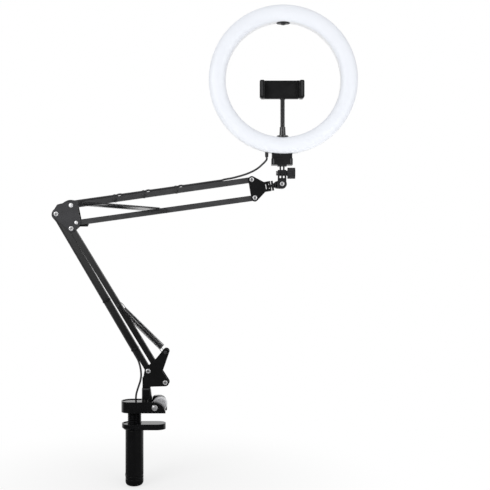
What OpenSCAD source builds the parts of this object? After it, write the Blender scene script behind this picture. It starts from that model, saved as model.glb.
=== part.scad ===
// Ring light on a sprung scissor arm with a table clamp, and a phone holder inside the ring.
// X runs right along the arm, Y runs away from the viewer, Z is up.
// The origin is under the upper jaw, on the axis of the base swivel, where the jaw rests on a table.

/* [Clamp] */
// Reach of the upper jaw from the swivel axis back to its round heel
heel_reach = 45; // [43:1:50]
// Reach of the upper jaw from the swivel axis forward to its nose
nose_reach = 34; // [33:1:38]
// Depth of the upper jaw from front to back
jaw_depth = 36; // [34:1:42]
// Height of the upper jaw
jaw_h = 19.3; // [18:0.1:23]
// Height of the boss that holds the swivel pin, above the jaw
boss_h = 20; // [16:1:26]
// Diameter of the boss at its top
boss_d = 15.8; // [14:0.2:16]
// Diameter of the threaded post
post_d = 24; // [22:0.5:24.5]
// Distance of the post behind the middle of the upper jaw
post_offset = 22; // [21.5:0.5:24]
// Length of the post below the upper jaw
post_len = 85; // [75:1:88]
// Thickness of the table between the jaws
throat = 20; // [18:0.5:30]
// Thickness of the lower jaw
lower_jaw_t = 10; // [8:0.5:14]
// Diameter of the handle
handle_d = 31.5; // [30:0.5:34]
// Length of the handle
handle_len = 99; // [92:1:115]
// Radius of the ribbed locking cam
cam_r = 12.6; // [11.5:0.1:12.8]
// Number of ribs round the cam
cam_ribs = 36; // [24:1:44]

/* [Arm] */
// Distance between the pivots of the left lower bar
lower_len = 318.9; // [290:0.1:350]
// Distance between the pivots of the top upper bar
upper_len = 319.8; // [290:0.1:350]
// Angle of the lower bars above the horizontal
lower_angle = 120.4; // [112:0.1:121]
// Angle of the upper bars above the horizontal
upper_angle = 8.1; // [5:0.1:16]
// Size of the square bars
bar = 9.5; // [8:0.1:9.6]
// Thickness of the bracket plates
plate_t = 2; // [1.5:0.1:2.5]
// Distance between the pivots of the lower bars at the base
base_pitch = 36.15; // [35:0.05:40]
// Distance between the pivots of the lower bars at the elbow
elbow_low_pitch = 36.7; // [36:0.1:39]
// Distance between the pivots of the upper bars at the elbow
elbow_up_pitch = 31.7; // [29:0.1:32]
// Distance between the pivots of the upper bars at the end bracket
end_pitch = 32.2; // [30:0.1:36]
// Diameter of the pivot bolts
bolt_d = 5; // [4:0.5:6]
// Height of the lower pivot of the left bar above the table
base_pivot_z = 72.3; // [72:0.1:80]

/* [Springs] */
// Outer diameter of a spring
spring_d = 8; // [7:0.5:8.5]
// Diameter of the spring wire
wire_d = 1; // [0.8:0.1:1.4]
// Number of curls in each spring
spring_turns = 16; // [10:1:18]
// Diameter of the pins that hold the spring eyes
spring_pin_d = 4; // [3:0.5:4.5]

/* [Head] */
// Distance from the end pivots to the lower knuckle
head_reach = 51.2; // [50.6:0.1:60]
// Distance between the two knuckle axes
knuckle_rise = 19.2; // [19:0.1:26]
// Outer radius of the prongs of the lower knuckle
prong_r = 8.2; // [7:0.1:8.4]
// Outer radius of the prongs of the upper knuckle
top_prong_r = 6; // [5.5:0.1:6.6]
// Thickness of a prong
prong_t = 3; // [2.6:0.1:3.2]
// Diameter of the threaded stud
stud_d = 6; // [5:0.5:8]
// Diameter of the lock disc on the stud
disc_d = 17.6; // [15:0.2:20]
// Diameter of the thumb knob
knob_d = 19.5; // [15:0.5:20]
// Length of the thumb knob
knob_len = 13.5; // [8:0.5:14]

/* [Ring] */
// Outer diameter of the ring
ring_d = 262; // [240:1:300]
// Width of the ring's band
band_w = 29.5; // [26:0.5:34]
// Depth of the ring's shell behind the diffuser
shell_depth = 18; // [16:0.5:24]
// Height of the diffuser's dome in front of the shell
dome_h = 9; // [5:0.5:12]
// Wall thickness of the shell
shell_wall = 2; // [1.5:0.1:2.5]
// Height of the ring's lowest point above the upper knuckle
ring_rise = 33.8; // [31:0.1:36]
// How far the ring's middle lies to the right of the joint under it
ring_shift = 2.2; // [0:0.1:4]
// Width of the box under the ring
box_w = 37.2; // [32:0.2:44]
// Depth of the box under the ring
box_depth = 24; // [20:0.5:26]

/* [Phone holder] */
// Width of the phone holder over its jaws when closed
holder_w = 78; // [70:1:90]
// Height of the phone holder
holder_h = 32; // [26:1:40]
// Width of one jaw
holder_jaw = 8.5; // [7:0.5:10]
// Diameter of the gooseneck
gooseneck_d = 8; // [6:0.5:9]
// Length of the gooseneck above its ferrule
gooseneck_len = 48; // [40:1:56]

/* [Cord] */
// Diameter of the cord
cord_d = 3.5; // [3:0.1:3.6]
// Loops in the hank of spare cord
hank_loops = 6; // [3:1:7]

/* [Hidden] */
$fn = 64;
eps = 0.01;
// Clearance of a turning pin, of a fixed fit, of the ring's inner pieces, of moving faces, and at an opened pivot
run_clear = 0.05;
fit_clear = 0.02;
ring_clear = 0.08;
move_clear = 0.3;
open_clear = 0.45;

// Places along the depth: bracket plates, springs
plate_in = bar / 2 + move_clear;
plate_out = plate_in + plate_t;
bolt_head_h = 2.4;
spring_y = plate_out + bolt_head_h + spring_d / 2 + 2 * move_clear;
pin_tip = 3;

// Clamp places
jaw_r = jaw_depth / 2;
rim_w = 2;
rim_h = 1.2;
post_x = -post_offset;
post_socket = jaw_h - 5;
boss_top = jaw_h + boss_h;
rib_reach = 2.6;
swivel_x = -1.2;
pin_d = 8;
pin_floor = 8;
washer_t = 2.2;
cheek_in = jaw_depth / 4;
slot_x = swivel_x + boss_d / 2 + 2;
cam_pivot = [15.5, 9.6];
cam_bolt_d = 6;
cam_center = [nose_reach - 11.3, cam_r + 0.4];
cam_half_w = cheek_in - move_clear;
collar_h = 2;
jaw_face_z = -throat;
jaw_under_z = jaw_face_z - lower_jaw_t;
lower_jaw_r = jaw_r - 0.5;
lower_nose_r = 15;
handle_top_z = jaw_under_z - move_clear;

// Arm pivots, as points in the plane of the arm
function polar(r, a) = [r * cos(a), r * sin(a)];
base_a = [2.9, base_pivot_z];
base_b = base_a + polar(base_pitch, -34.4);
spring_ear = base_b + [0.9, 54.1];
elbow_a = base_a + polar(lower_len, lower_angle);
elbow_b = elbow_a + polar(elbow_low_pitch, -43.8);
elbow_c = elbow_a + [26.3, 15.1];
elbow_d = elbow_c + polar(elbow_up_pitch, -73.3);
elbow_stud = elbow_c + [12.6, 4];
end_a = elbow_c + polar(upper_len, upper_angle);
end_b = end_a + polar(end_pitch, -80.4);
lower_hook = (base_b + elbow_b) / 2;
upper_hook = (elbow_d + end_b) / 2;

// Head places, along an axis through the end bracket
end_mid = (end_a + end_b) / 2;
head_angle = 9.4;
knuckle = end_mid + polar(head_reach, head_angle);
top_knuckle = knuckle + [0, knuckle_rise];
knuckle_gap = 0.8;
top_gap = 2.8;
foot_prong_r = top_prong_r - 1.2;
nose_end = head_reach - prong_r - knuckle_gap - 11.2;
disc_t = 3.4;
disc_at = nose_end + 1.4;
adapter_at = disc_at + disc_t + move_clear;
neck_half = 8.6;
stud_end = head_reach - prong_r - knuckle_gap - 2.8;

// Ring places
ring_r = ring_d / 2;
ring_in = ring_r - band_w;
ring_c = [top_knuckle[0] + ring_shift, top_knuckle[1] + ring_rise + ring_r];
shell_front = -4;
shell_back = shell_front + shell_depth;
box_top = ring_c[1] - ring_r + 4;
box_floor = top_knuckle[1] + top_prong_r + 8.6;
box_mid_y = shell_front + shell_depth / 2;
gland_x = -29;
gland_at = [ring_c[0] + gland_x, 5, ring_c[1] - sqrt(ring_r * ring_r - gland_x * gland_x)];
gland_len = 8;

// Phone holder places
socket_t = 3;
ferrule_h = 15;
stem_x = ring_c[0] - 1.2;
stem_z = ring_c[1] - ring_in;
holder_x = stem_x - 1.4;
holder_z = stem_z + socket_t + ferrule_h + gooseneck_len;
holder_back_y = 6;
back_lift = 1.4;
holder_plate_t = 8;
holder_jaw_out = 14;
holder_front_y = holder_back_y - holder_plate_t;

// Cord places: round points chosen by hand
cord_r = cord_d / 2;
lift = bar / 2 + cord_r + 0.2;
upper_start = end_a + polar(-58, upper_angle) + polar(lift, upper_angle + 90);
upper_end = elbow_c + polar(14, upper_angle) + polar(lift, upper_angle + 90);
lower_start = elbow_a + polar(-16, lower_angle) + polar(lift, lower_angle + 90);
lower_end = base_a + polar(36, lower_angle) + polar(lift, lower_angle + 90);
function flat(p, y) = [p[0], y, p[1]];
head_points = [
    gland_at - [0, 0, gland_len],
    gland_at - [0, 0, gland_len + 4],
    gland_at - [2.4, 0.5, gland_len + 7.6],
    gland_at - [6.5, 1, gland_len + 12],
    gland_at - [13.2, 2, gland_len + 18.3],
    gland_at - [19.9, 3, gland_len + 23],
    gland_at - [26.8, 3.5, gland_len + 26.6],
    gland_at - [35.1, 4.2, gland_len + 30.1],
    gland_at - [46.2, 4.8, gland_len + 33.6],
    gland_at - [60.3, 5, gland_len + 37.2],
    gland_at - [73.8, 5, gland_len + 39.8],
    flat(upper_start + polar(5, upper_angle), 0),
    flat(upper_start, 0)
];
elbow_points = [
    flat(upper_end, 0),
    flat(upper_end + polar(-8, upper_angle), 0),
    flat(elbow_c + [-4, 8.2], 0),
    flat(elbow_c + [-12, 5], 0),
    flat(elbow_a + [5, 13], 0),
    flat(elbow_a + [-1.6, 9], 0),
    flat(elbow_a + [-6.2, 4.8], 0),
    flat(elbow_a + [-7.8, -0.6], 0),
    flat(elbow_a + [-6.8, -4.6], 0),
    flat(lower_start + polar(5, lower_angle), 0),
    flat(lower_start, 0)
];
hank_x = -30;
hank_y = 26;
hank_z = -88;
hank_run = 60;
hank_bend = 10.5;
hank_step = cord_d + 0.7;
hank_waist = 3;
hank_lead = 14;
hank_start = [hank_x + hank_bend, hank_y, hank_z + hank_run / 2 + hank_lead];
drop_points = [
    flat(lower_end, 0),
    flat(lower_end + polar(-5, lower_angle), 0),
    [-15.2, 0.5, 89],
    [-12.6, 1.5, 80],
    [-11.2, 3, 71],
    [-11, 5, 62],
    [-12.6, 7.5, 53],
    [-15.6, 10.5, 44],
    [-18.8, 14, 35],
    [-21.2, 17.5, 27],
    [-22.2, 20.6, 19],
    [-22.2, 22, 10],
    [-21.6, 23, 0],
    [-20.6, 24, -10],
    [-19.8, 25.2, -22],
    hank_start + [0, 0, 8],
    hank_start
];

// Unit vector along v
function unit(v) = v / norm(v);
// Directions along a path of points
function headings(p) = [for (i = [0:len(p) - 1]) unit(p[min(i + 1, len(p) - 1)] - p[max(i - 1, 0)])];
// A side direction n turned square to the heading t
function squared(n, t) = unit(n - (n * t) * t);
// Side directions carried along the headings without twist
function carried(t, n, i = 0) =
    i == len(t) ? [] : let (m = squared(n, t[i])) concat([m], carried(t, m, i + 1));
// Rings of points round a path
function tube_points(p, r, sides) =
    let (t = headings(p), n = carried(t, [0, 1, 0]))
    [for (i = [0:len(p) - 1]) for (k = [0:sides - 1])
        p[i] + r * (cos(360 * k / sides) * n[i] + sin(360 * k / sides) * cross(t[i], n[i]))];
// Triangles of the tube's wall and its two ends
function tube_faces(count, sides) = concat(
    [for (i = [0:count - 2]) for (k = [0:sides - 1])
        [i * sides + k, (i + 1) * sides + (k + 1) % sides, i * sides + (k + 1) % sides]],
    [for (i = [0:count - 2]) for (k = [0:sides - 1])
        [i * sides + k, (i + 1) * sides + k, (i + 1) * sides + (k + 1) % sides]],
    [for (k = [1:sides - 2]) [0, k, k + 1]],
    [for (k = [1:sides - 2]) (count - 1) * sides * [1, 1, 1] + [0, k + 1, k]]
);
// Least distance between points of a path that lie more than skip points apart
function self_gap(p, skip) =
    min([for (i = [0:len(p) - 1 - skip]) min([for (j = [i + skip:len(p) - 1]) norm(p[i] - p[j])])]);

// Path of a spring from the pin at p to the pin at q: an eye, the curls, and an eye
eye_r = spring_pin_d / 2 + wire_d / 2 + 0.2;
coil_r = (spring_d - wire_d) / 2;
eye_lead = eye_r + 7.3;
eye_tip = 0.6 * eye_lead;
curl_rings = 8;
function spring_path(p, q, y) =
    let (
        span = norm(q - p),
        u = (q - p) / span,
        n = [-u[1], u[0]],
        coil_len = span - 2 * eye_lead,
        rings = spring_turns * curl_rings
    )
    concat(
        [flat(p + eye_tip * u + eye_r * n, y)],
        [for (a = [90:30:270]) flat(p + eye_r * (cos(a) * u + sin(a) * n), y)],
        [flat(p + eye_tip * u - eye_r * n, y)],
        [for (i = [0:rings]) let (a = 360 * i / curl_rings)
            flat(p + (eye_lead + coil_len * i / rings) * u - coil_r * cos(a) * n, y + coil_r * sin(a))],
        [flat(q - eye_tip * u - eye_r * n, y)],
        [for (a = [270:30:450]) flat(q + eye_r * (cos(a) * u + sin(a) * n), y)],
        [flat(q - eye_tip * u + eye_r * n, y)]
    );

// Path of the hank: each loop runs down, bends, runs up while it climbs one step, and bends again
bend_rings = 8;
run_rings = 4;
plug_step = 9.8;
function waist(s) = hank_bend - hank_waist * sin(180 * s);
function hank_loop(i) =
    let (
        y = hank_y + hank_step * i,
        last = i == hank_loops - 1,
        up = hank_step,
        over = last ? plug_step : 0,
        top = hank_z + hank_run / 2
    )
    concat(
        [for (k = [0:run_rings - 1]) let (s = k / run_rings) [hank_x + waist(s), y, top - hank_run * s]],
        [for (k = [0:bend_rings]) let (a = -180 * k / bend_rings)
            [hank_x + hank_bend * cos(a), y, top - hank_run + hank_bend * sin(a)]],
        [for (k = [1:run_rings - 1]) let (s = k / run_rings)
            [hank_x - waist(s), y + up * s, top - hank_run + hank_run * s]],
        [for (k = [0:bend_rings - (last ? 0 : 1)]) let (a = 180 - 180 * k / bend_rings)
            [hank_x + hank_bend * cos(a), y + up + over * k / bend_rings, top + hank_bend * sin(a)]]
    );
hank_end = [hank_x + hank_bend, hank_y + hank_step * hank_loops + plug_step, hank_z + hank_run / 2 - 8];
hank_points = concat([hank_start], [for (i = [0:hank_loops - 1]) each hank_loop(i)], [hank_end]);

module along_y(p, y) {
    translate([p[0], y, p[1]]) rotate([-90, 0, 0]) children();
}
module slab(y0, y1) {
    translate([0, y1, 0]) rotate([90, 0, 0]) linear_extrude(y1 - y0) children();
}
module head_frame() {
    translate([end_mid[0], 0, end_mid[1]]) rotate([0, -head_angle, 0]) children();
}
module ring_frame() {
    translate([ring_c[0], 0, ring_c[1]]) rotate([-90, 0, 0]) children();
}
module tube(p, r, sides) {
    polyhedron(tube_points(p, r, sides), tube_faces(len(p), sides), convexity = 10);
}
// Outline round a list of lobes [x, z, radius] in counter-clockwise order, with straight tangents
module lobed(lobes) {
    count = len(lobes);
    tangents = [for (i = [0:count - 1])
        let (
            a = lobes[i],
            b = lobes[(i + 1) % count],
            d = [b[0] - a[0], b[1] - a[1]],
            n = atan2(d[1], d[0]) - 90 + asin((a[2] - b[2]) / norm(d))
        )
        each [[a[0], a[1]] + polar(a[2], n), [b[0], b[1]] + polar(b[2], n)]];
    polygon(tangents);
    for (a = lobes) if (a[2] > 0) translate([a[0], a[1]]) circle(a[2]);
}
function lobe(p, r) = [p[0], p[1], r];
module pivot_hole(p, d) {
    along_y(p, -50) cylinder(d = d, h = 100);
}
// Bolt across the plates at p: round socket head in front, hexagon nut behind
module pivot_bolt(p, half, d, head_r) {
    along_y(p, -half) cylinder(d = d, h = 2 * half);
    difference() {
        along_y(p, -half - bolt_head_h) {
            cylinder(r1 = head_r - 0.6, r2 = head_r, h = 0.6);
            translate([0, 0, 0.6]) cylinder(r = head_r, h = bolt_head_h - 0.6);
        }
        along_y(p, -half - bolt_head_h - eps) cylinder(d = d * 0.6, h = 1.2, $fn = 6);
    }
    along_y(p, half) cylinder(r = head_r + 0.3, h = bolt_head_h, $fn = 6);
}

// Upper jaw, with its boss and the two cheeks round the locking cam
module clamp_casting() {
    heel_x = jaw_r - heel_reach;
    front_x = 12;
    rear_x = 18;
    rear_h = jaw_h + 7;
    bulge = 2 / 3;
    boss_right = swivel_x + boss_d / 2;
    color("#1b1b1d") difference() {
        union() {
            translate([heel_x, 0, 0]) cylinder(r = jaw_r, h = jaw_h);
            translate([heel_x, -jaw_r, 0]) cube([slot_x - heel_x, jaw_depth, jaw_h]);
            slab(-jaw_r, -cheek_in) polygon(concat([[slot_x - eps, 0]],
                [for (a = [0:7.5:90]) [front_x + (nose_reach - front_x) * cos(a), jaw_h * sin(a)]],
                [[slot_x - eps, jaw_h]]));
            slab(cheek_in, jaw_r) polygon(concat([[slot_x - eps, 0]],
                [for (a = [0:6:90]) [rear_x + (nose_reach - rear_x) * pow(cos(a), bulge), rear_h * pow(sin(a), bulge)]],
                [[slot_x + 2, rear_h - 0.6], [slot_x - eps, rear_h - 2.4]]));
            translate([swivel_x, 0, jaw_h - eps]) cylinder(d = boss_d, h = boss_h + eps);
            slab(-boss_d / 4, boss_d / 4) polygon([[swivel_x, jaw_h - eps], [boss_right + rib_reach, jaw_h - eps],
                [boss_right, boss_top], [swivel_x, boss_top]]);
            translate([post_x, 0, -collar_h]) cylinder(d1 = post_d + 1, d2 = post_d + 4, h = collar_h + eps);
        }
        intersection() {
            union() {
                translate([heel_x, 0, jaw_h - rim_h]) cylinder(r = jaw_r - rim_w, h = rim_h + 1);
                translate([heel_x, rim_w - jaw_r, jaw_h - rim_h]) cube([heel_reach, jaw_depth - 2 * rim_w, rim_h + 1]);
            }
            translate([-heel_reach, -jaw_r, 0])
                cube([heel_reach + swivel_x - boss_d / 2 - 1.4, jaw_depth, jaw_h + 2]);
        }
        translate([swivel_x, 0, pin_floor]) cylinder(d = pin_d + 2 * run_clear, h = boss_top);
        translate([post_x, 0, -collar_h - 1]) cylinder(d = post_d + 2 * fit_clear, h = post_socket + collar_h + 1);
        pivot_hole(cam_pivot, cam_bolt_d + 2 * fit_clear);
    }
}
// Threaded post, fixed in the upper jaw
module clamp_post() {
    color("#242426") translate([post_x, 0, 0]) rotate_extrude() polygon([
        [0, post_socket], [post_d / 2, post_socket], [post_d / 2, 1.5 - post_len],
        [post_d / 2 - 1.5, -post_len], [0, -post_len]
    ]);
}
// Cross bolt that the locking cam turns on
module cam_bolt() {
    head_r = 5.2;
    head_h = 2.6;
    color("#b9b9bb") {
        along_y(cam_pivot, -jaw_r) cylinder(d = cam_bolt_d, h = jaw_depth);
        along_y(cam_pivot, -jaw_r - head_h) {
            cylinder(r1 = head_r - 1.6, r2 = head_r, h = 1.4);
            translate([0, 0, 1.4]) cylinder(r = head_r, h = head_h - 1.4);
        }
        along_y(cam_pivot, jaw_r) cylinder(r = head_r - 0.4, h = 3, $fn = 6);
    }
}
// Ribbed eccentric cam between the cheeks
module lock_cam() {
    rib = 0.7;
    color("#9a9a9e") difference() {
        slab(-cam_half_w, cam_half_w) translate(cam_center) polygon([for (i = [0:cam_ribs - 1])
            each [polar(cam_r - rib, 360 * (i - 0.3) / cam_ribs), polar(cam_r, 360 * (i - 0.15) / cam_ribs),
                polar(cam_r, 360 * (i + 0.15) / cam_ribs), polar(cam_r - rib, 360 * (i + 0.3) / cam_ribs)]]);
        pivot_hole(cam_pivot, cam_bolt_d + 2 * run_clear);
    }
}
// Lower jaw, sliding on the post, with a shallow tray in its heel and a chamfer under it
module lower_jaw() {
    heel_x = lower_jaw_r - heel_reach + 1;
    nose_x = nose_reach - 1 - lower_nose_r;
    under_cut = 3;
    half_side = [[0, 0], [lower_jaw_r - under_cut, 0], [lower_jaw_r, under_cut], [lower_jaw_r, lower_jaw_t],
        [0, lower_jaw_t]];
    color("#1b1b1d") difference() {
        translate([0, 0, jaw_under_z]) {
            for (x = [heel_x, post_x]) translate([x, 0, 0]) rotate_extrude() polygon(half_side);
            translate([heel_x, 0, 0]) rotate([90, 0, 90]) linear_extrude(post_x - heel_x) {
                polygon(half_side);
                mirror([1, 0]) polygon(half_side);
            }
            linear_extrude(lower_jaw_t) {
                translate([post_x, -lower_nose_r]) square([nose_x - post_x, 2 * lower_nose_r]);
                translate([nose_x, 0]) circle(lower_nose_r);
            }
        }
        intersection() {
            translate([heel_x, 0, jaw_face_z - rim_h]) cylinder(r = lower_jaw_r - rim_w, h = rim_h + 1);
            translate([-heel_reach, -jaw_r, jaw_face_z - 2 * rim_h])
                cube([heel_reach - post_offset, jaw_depth, 4 * rim_h]);
        }
        translate([post_x, 0, jaw_under_z - 1]) cylinder(d = post_d + 2 * move_clear, h = lower_jaw_t + 2);
    }
}
// Barrel handle, a long nut on the post
module clamp_handle() {
    r = handle_d / 2;
    round_r = 7;
    groove = 1.2;
    bore_r = post_d / 2 + move_clear;
    ring_z = -handle_len + round_r + 6;
    color("#161617") translate([post_x, 0, handle_top_z]) rotate_extrude() polygon(concat(
        [[bore_r, 0], [r - 1, 0], [r, -1]],
        [for (k = [1, 0]) each [[r, ring_z + 5 * k + 1], [r - groove, ring_z + 5 * k + 0.6],
            [r - groove, ring_z + 5 * k - 0.6], [r, ring_z + 5 * k - 1]]],
        [for (a = [0:15:90]) [r - round_r + round_r * cos(a), round_r - handle_len - round_r * sin(a)]],
        [[0, -handle_len], [0, 14 - handle_len], [bore_r, 14 - handle_len]]
    ));
}
// Washer between the boss and the base bracket
module swivel_washer() {
    color("#c8c8c4") translate([swivel_x, 0, boss_top]) difference() {
        cylinder(d = boss_d - 0.6, h = washer_t);
        translate([0, 0, -1]) cylinder(d = pin_d + 2 * run_clear, h = washer_t + 2);
    }
}
base_block_z = boss_top + washer_t + move_clear;
base_block_h = 19;
// Pin of the base bracket, standing in the boss
module swivel_pin() {
    color("#8e8e90") translate([swivel_x, 0, pin_floor + move_clear])
        cylinder(d = pin_d, h = base_block_z + base_block_h - 4 - pin_floor - move_clear);
}
// Base bracket: a block on the pin, and two cheek plates with the ear for the springs
module base_bracket() {
    block = [swivel_x - 6.2, swivel_x + 7.4];
    outline = [lobe(base_b, 6.6), lobe(base_a + [24.8, -0.4], 0), lobe(spring_ear, 5.6),
        lobe(base_a + [12.7, 20.4], 0), lobe(base_a, 6.5), [block[0] + 1.6, base_block_z + base_block_h, 0],
        [block[0] + 2.6, base_block_z + 2.4, 0]];
    color("#141415") difference() {
        union() {
            slab(-plate_out, -plate_in) lobed(outline);
            slab(plate_in, plate_out) lobed(outline);
            translate([block[0], -plate_in - eps, base_block_z])
                cube([block[1] - block[0], 2 * plate_in + 2 * eps, base_block_h]);
        }
        translate([swivel_x, 0, base_block_z - 1])
            cylinder(d = pin_d + 2 * fit_clear, h = base_block_h - 4 + 1 + fit_clear);
        pivot_hole(base_a, bolt_d + 2 * fit_clear);
        pivot_hole(base_b, bolt_d + 2 * fit_clear);
        pivot_hole(spring_ear, spring_pin_d + 2 * fit_clear);
    }
}
module base_bolts() {
    color("#c6c6c8") for (p = [base_a, base_b]) pivot_bolt(p, plate_out, bolt_d, 4);
}
module spring_pin(p) {
    along_y(p, -spring_y - pin_tip) cylinder(d = spring_pin_d, h = 2 * (spring_y + pin_tip));
    for (s = [-1, 1]) along_y(p, s * (spring_y + pin_tip) - 0.5) cylinder(d = spring_pin_d + 1.6, h = 1);
}
module base_spring_pin() {
    color("#8e8e90") spring_pin(spring_ear);
}
// Square bar with round ends from pivot p to pivot q, bored for both, and for a spring pin if hooked
module arm_bar(p, q, hooked) {
    length = norm(q - p);
    far_d = bolt_d + 2 * (hooked ? open_clear : run_clear);
    color("#2f2f31") translate([p[0], 0, p[1]]) rotate([0, -atan2(q[1] - p[1], q[0] - p[0]), 0]) difference() {
        union() {
            translate([0, -bar / 2, -bar / 2]) cube([length, bar, bar]);
            for (x = [0, length]) along_y([x, 0], -bar / 2) cylinder(d = bar, h = bar);
        }
        along_y([0, 0], -bar) cylinder(d = bolt_d + 2 * run_clear, h = 2 * bar);
        along_y([length, 0], -bar) cylinder(d = far_d, h = 2 * bar);
        if (hooked) along_y([length / 2, 0], -bar) cylinder(d = spring_pin_d + 2 * fit_clear, h = 2 * bar);
    }
}
module lower_bar_left() {
    arm_bar(base_a, elbow_a, false);
}
module lower_bar_right() {
    arm_bar(base_b, elbow_b, true);
}
module lower_spring_post() {
    color("#8e8e90") spring_pin(lower_hook);
}
module arm_spring(p, q, y) {
    path = spring_path(p, q, y);
    echo("least gap of a spring to itself", self_gap(path, curl_rings - 2) - wire_d);
    color("#a9a9ad") tube(path, wire_d / 2, 6);
}
module lower_spring_front() {
    arm_spring(spring_ear, lower_hook, -spring_y);
}
module lower_spring_rear() {
    arm_spring(spring_ear, lower_hook, spring_y);
}
// Elbow plate, in front or behind the bars
elbow_outline = [lobe(elbow_b, 6.2), lobe(elbow_d, 7.6), lobe(elbow_d + [2.2, 27], 0), lobe(elbow_stud, 4.6),
    lobe(elbow_c, 7), lobe(elbow_a + [4.6, 12.6], 4.5), lobe(elbow_a, 7)];
module elbow_plate(y0, y1) {
    color("#3a3a3c") difference() {
        slab(y0, y1) lobed(elbow_outline);
        for (p = [elbow_a, elbow_b, elbow_c, elbow_d]) pivot_hole(p, bolt_d + 2 * fit_clear);
        pivot_hole(elbow_stud, spring_pin_d + 2 * fit_clear);
    }
}
module elbow_plate_front() {
    elbow_plate(-plate_out, -plate_in);
}
module elbow_plate_rear() {
    elbow_plate(plate_in, plate_out);
}
module elbow_bolts() {
    color("#d0d0d2") {
        for (p = [elbow_a, elbow_b, elbow_c]) pivot_bolt(p, plate_out, bolt_d, 4);
        pivot_bolt(elbow_d, plate_out, bolt_d, 3.2);
    }
}
// Stop under the lower of the upper bars, held between the plates
module elbow_stop() {
    stop_len = 20;
    under = elbow_d + [0, -bar / 2 / cos(upper_angle) - 0.4];
    foot = under[1] - 1.5;
    color("#161617") slab(-plate_in, plate_in) polygon([
        [under[0] + 3, foot], [under[0] + stop_len - 2, foot],
        [under[0] + stop_len, under[1] + stop_len * tan(upper_angle)], [under[0] + 3, under[1] + 3 * tan(upper_angle)]
    ]);
}
// Two studs that stand out of the plates for the eyes of the upper springs
module elbow_spring_studs() {
    reach = spring_y + pin_tip - plate_in;
    color("#8e8e90") for (s = [-1, 1]) {
        along_y(elbow_stud, s > 0 ? plate_in : -plate_in - reach) cylinder(d = spring_pin_d, h = reach);
        along_y(elbow_stud, s * (plate_in + reach) - 0.5) cylinder(d = spring_pin_d + 1.6, h = 1);
    }
}
module upper_bar_top() {
    arm_bar(elbow_c, end_a, false);
}
module upper_bar_bottom() {
    arm_bar(elbow_d, end_b, true);
}
module upper_spring_post() {
    color("#8e8e90") spring_pin(upper_hook);
}
module upper_spring_front() {
    arm_spring(elbow_stud, upper_hook, -spring_y);
}
module upper_spring_rear() {
    arm_spring(elbow_stud, upper_hook, spring_y);
}
// End bracket: two plates that draw in to a slotted nose
function in_head(p) = let (d = p - end_mid)
    [d[0] * cos(head_angle) + d[1] * sin(head_angle), d[1] * cos(head_angle) - d[0] * sin(head_angle)];
nose_back = 18;
slots = [nose_back + 4.6, nose_back + 10];
stud_back = nose_back + 6.4;
fork_outline = [lobe(in_head(end_b), 6.2), [nose_back + 2, -neck_half, 0], [nose_end, -neck_half, 0],
    [nose_end, neck_half, 0], [nose_back + 2, neck_half, 0], lobe(in_head(end_a), 6.2)];
module fork_slots() {
    for (t = slots) translate([t - 0.7, -25, -4.6]) cube([1.4, 50, 9.2]);
}
module fork_plate(y0, y1) {
    color("#1b1b1c") head_frame() difference() {
        slab(y0, y1) lobed(fork_outline);
        for (p = [end_a, end_b]) pivot_hole(in_head(p), bolt_d + 2 * fit_clear);
        fork_slots();
    }
}
module fork_plate_front() {
    fork_plate(-plate_out, -plate_in);
}
module fork_plate_rear() {
    fork_plate(plate_in, plate_out);
}
// Block between the plates, bored for the stud
module fork_nose() {
    color("#161617") head_frame() difference() {
        translate([nose_back, -plate_in, -neck_half]) cube([nose_end - nose_back, 2 * plate_in, 2 * neck_half]);
        translate([stud_back - 1, 0, 0]) rotate([0, 90, 0]) cylinder(d = stud_d + 2 * fit_clear, h = head_reach);
        fork_slots();
    }
}
module fork_bolts() {
    color("#d0d0d2") for (p = [end_a, end_b]) pivot_bolt(p, plate_out, bolt_d, 4);
}
// Threaded stud in the nose
module head_stud() {
    color("#b4b4b6") head_frame() translate([stud_back, 0, 0]) rotate([0, 90, 0])
        cylinder(d = stud_d, h = stud_end + 0.5 - stud_back);
}
// Notched disc that locks the head on the stud
module lock_disc() {
    notches = 18;
    color("#161617") head_frame() translate([disc_at, 0, 0]) rotate([0, 90, 0]) difference() {
        cylinder(d = disc_d, h = disc_t);
        translate([0, 0, -1]) cylinder(d = stud_d + 2 * run_clear, h = disc_t + 2);
        for (i = [1:notches]) rotate(360 * i / notches) translate([disc_d / 2 + 0.5, 0, -1])
            cylinder(r = 1, h = disc_t + 2, $fn = 16);
    }
}
// Knuckle with three prongs, turning on the stud
pin_hole = 5;
module prong(x0, x1, r) {
    translate([x0, 0, 0]) rotate([0, 90, 0]) cylinder(r = r, h = x1 - x0);
}
module stud_adapter() {
    body_end = head_reach - prong_r - knuckle_gap;
    color("#1d1d1f") head_frame() difference() {
        union() {
            translate([adapter_at, 0, 0]) rotate([0, 90, 0]) cylinder(r = prong_r - 0.5, h = body_end - adapter_at);
            for (k = [-1:1]) along_y([head_reach, 0], (2 * k - 0.5) * prong_t) cylinder(r = prong_r, h = prong_t);
            for (k = [-1:1]) translate([body_end - 2, (2 * k - 0.5) * prong_t, -prong_r + 0.5])
                cube([head_reach - body_end + 2, prong_t, 2 * prong_r - 1]);
        }
        translate([adapter_at - 1, 0, 0]) rotate([0, 90, 0])
            cylinder(d = stud_d + 2 * run_clear, h = body_end - adapter_at - 0.6);
        along_y([head_reach, 0], -20) cylinder(d = pin_hole + 2 * fit_clear, h = 40);
    }
}
module knuckle_bolt() {
    color("#c6c6c8") pivot_bolt(knuckle, 2.5 * prong_t, pin_hole, 3.9);
}
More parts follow.
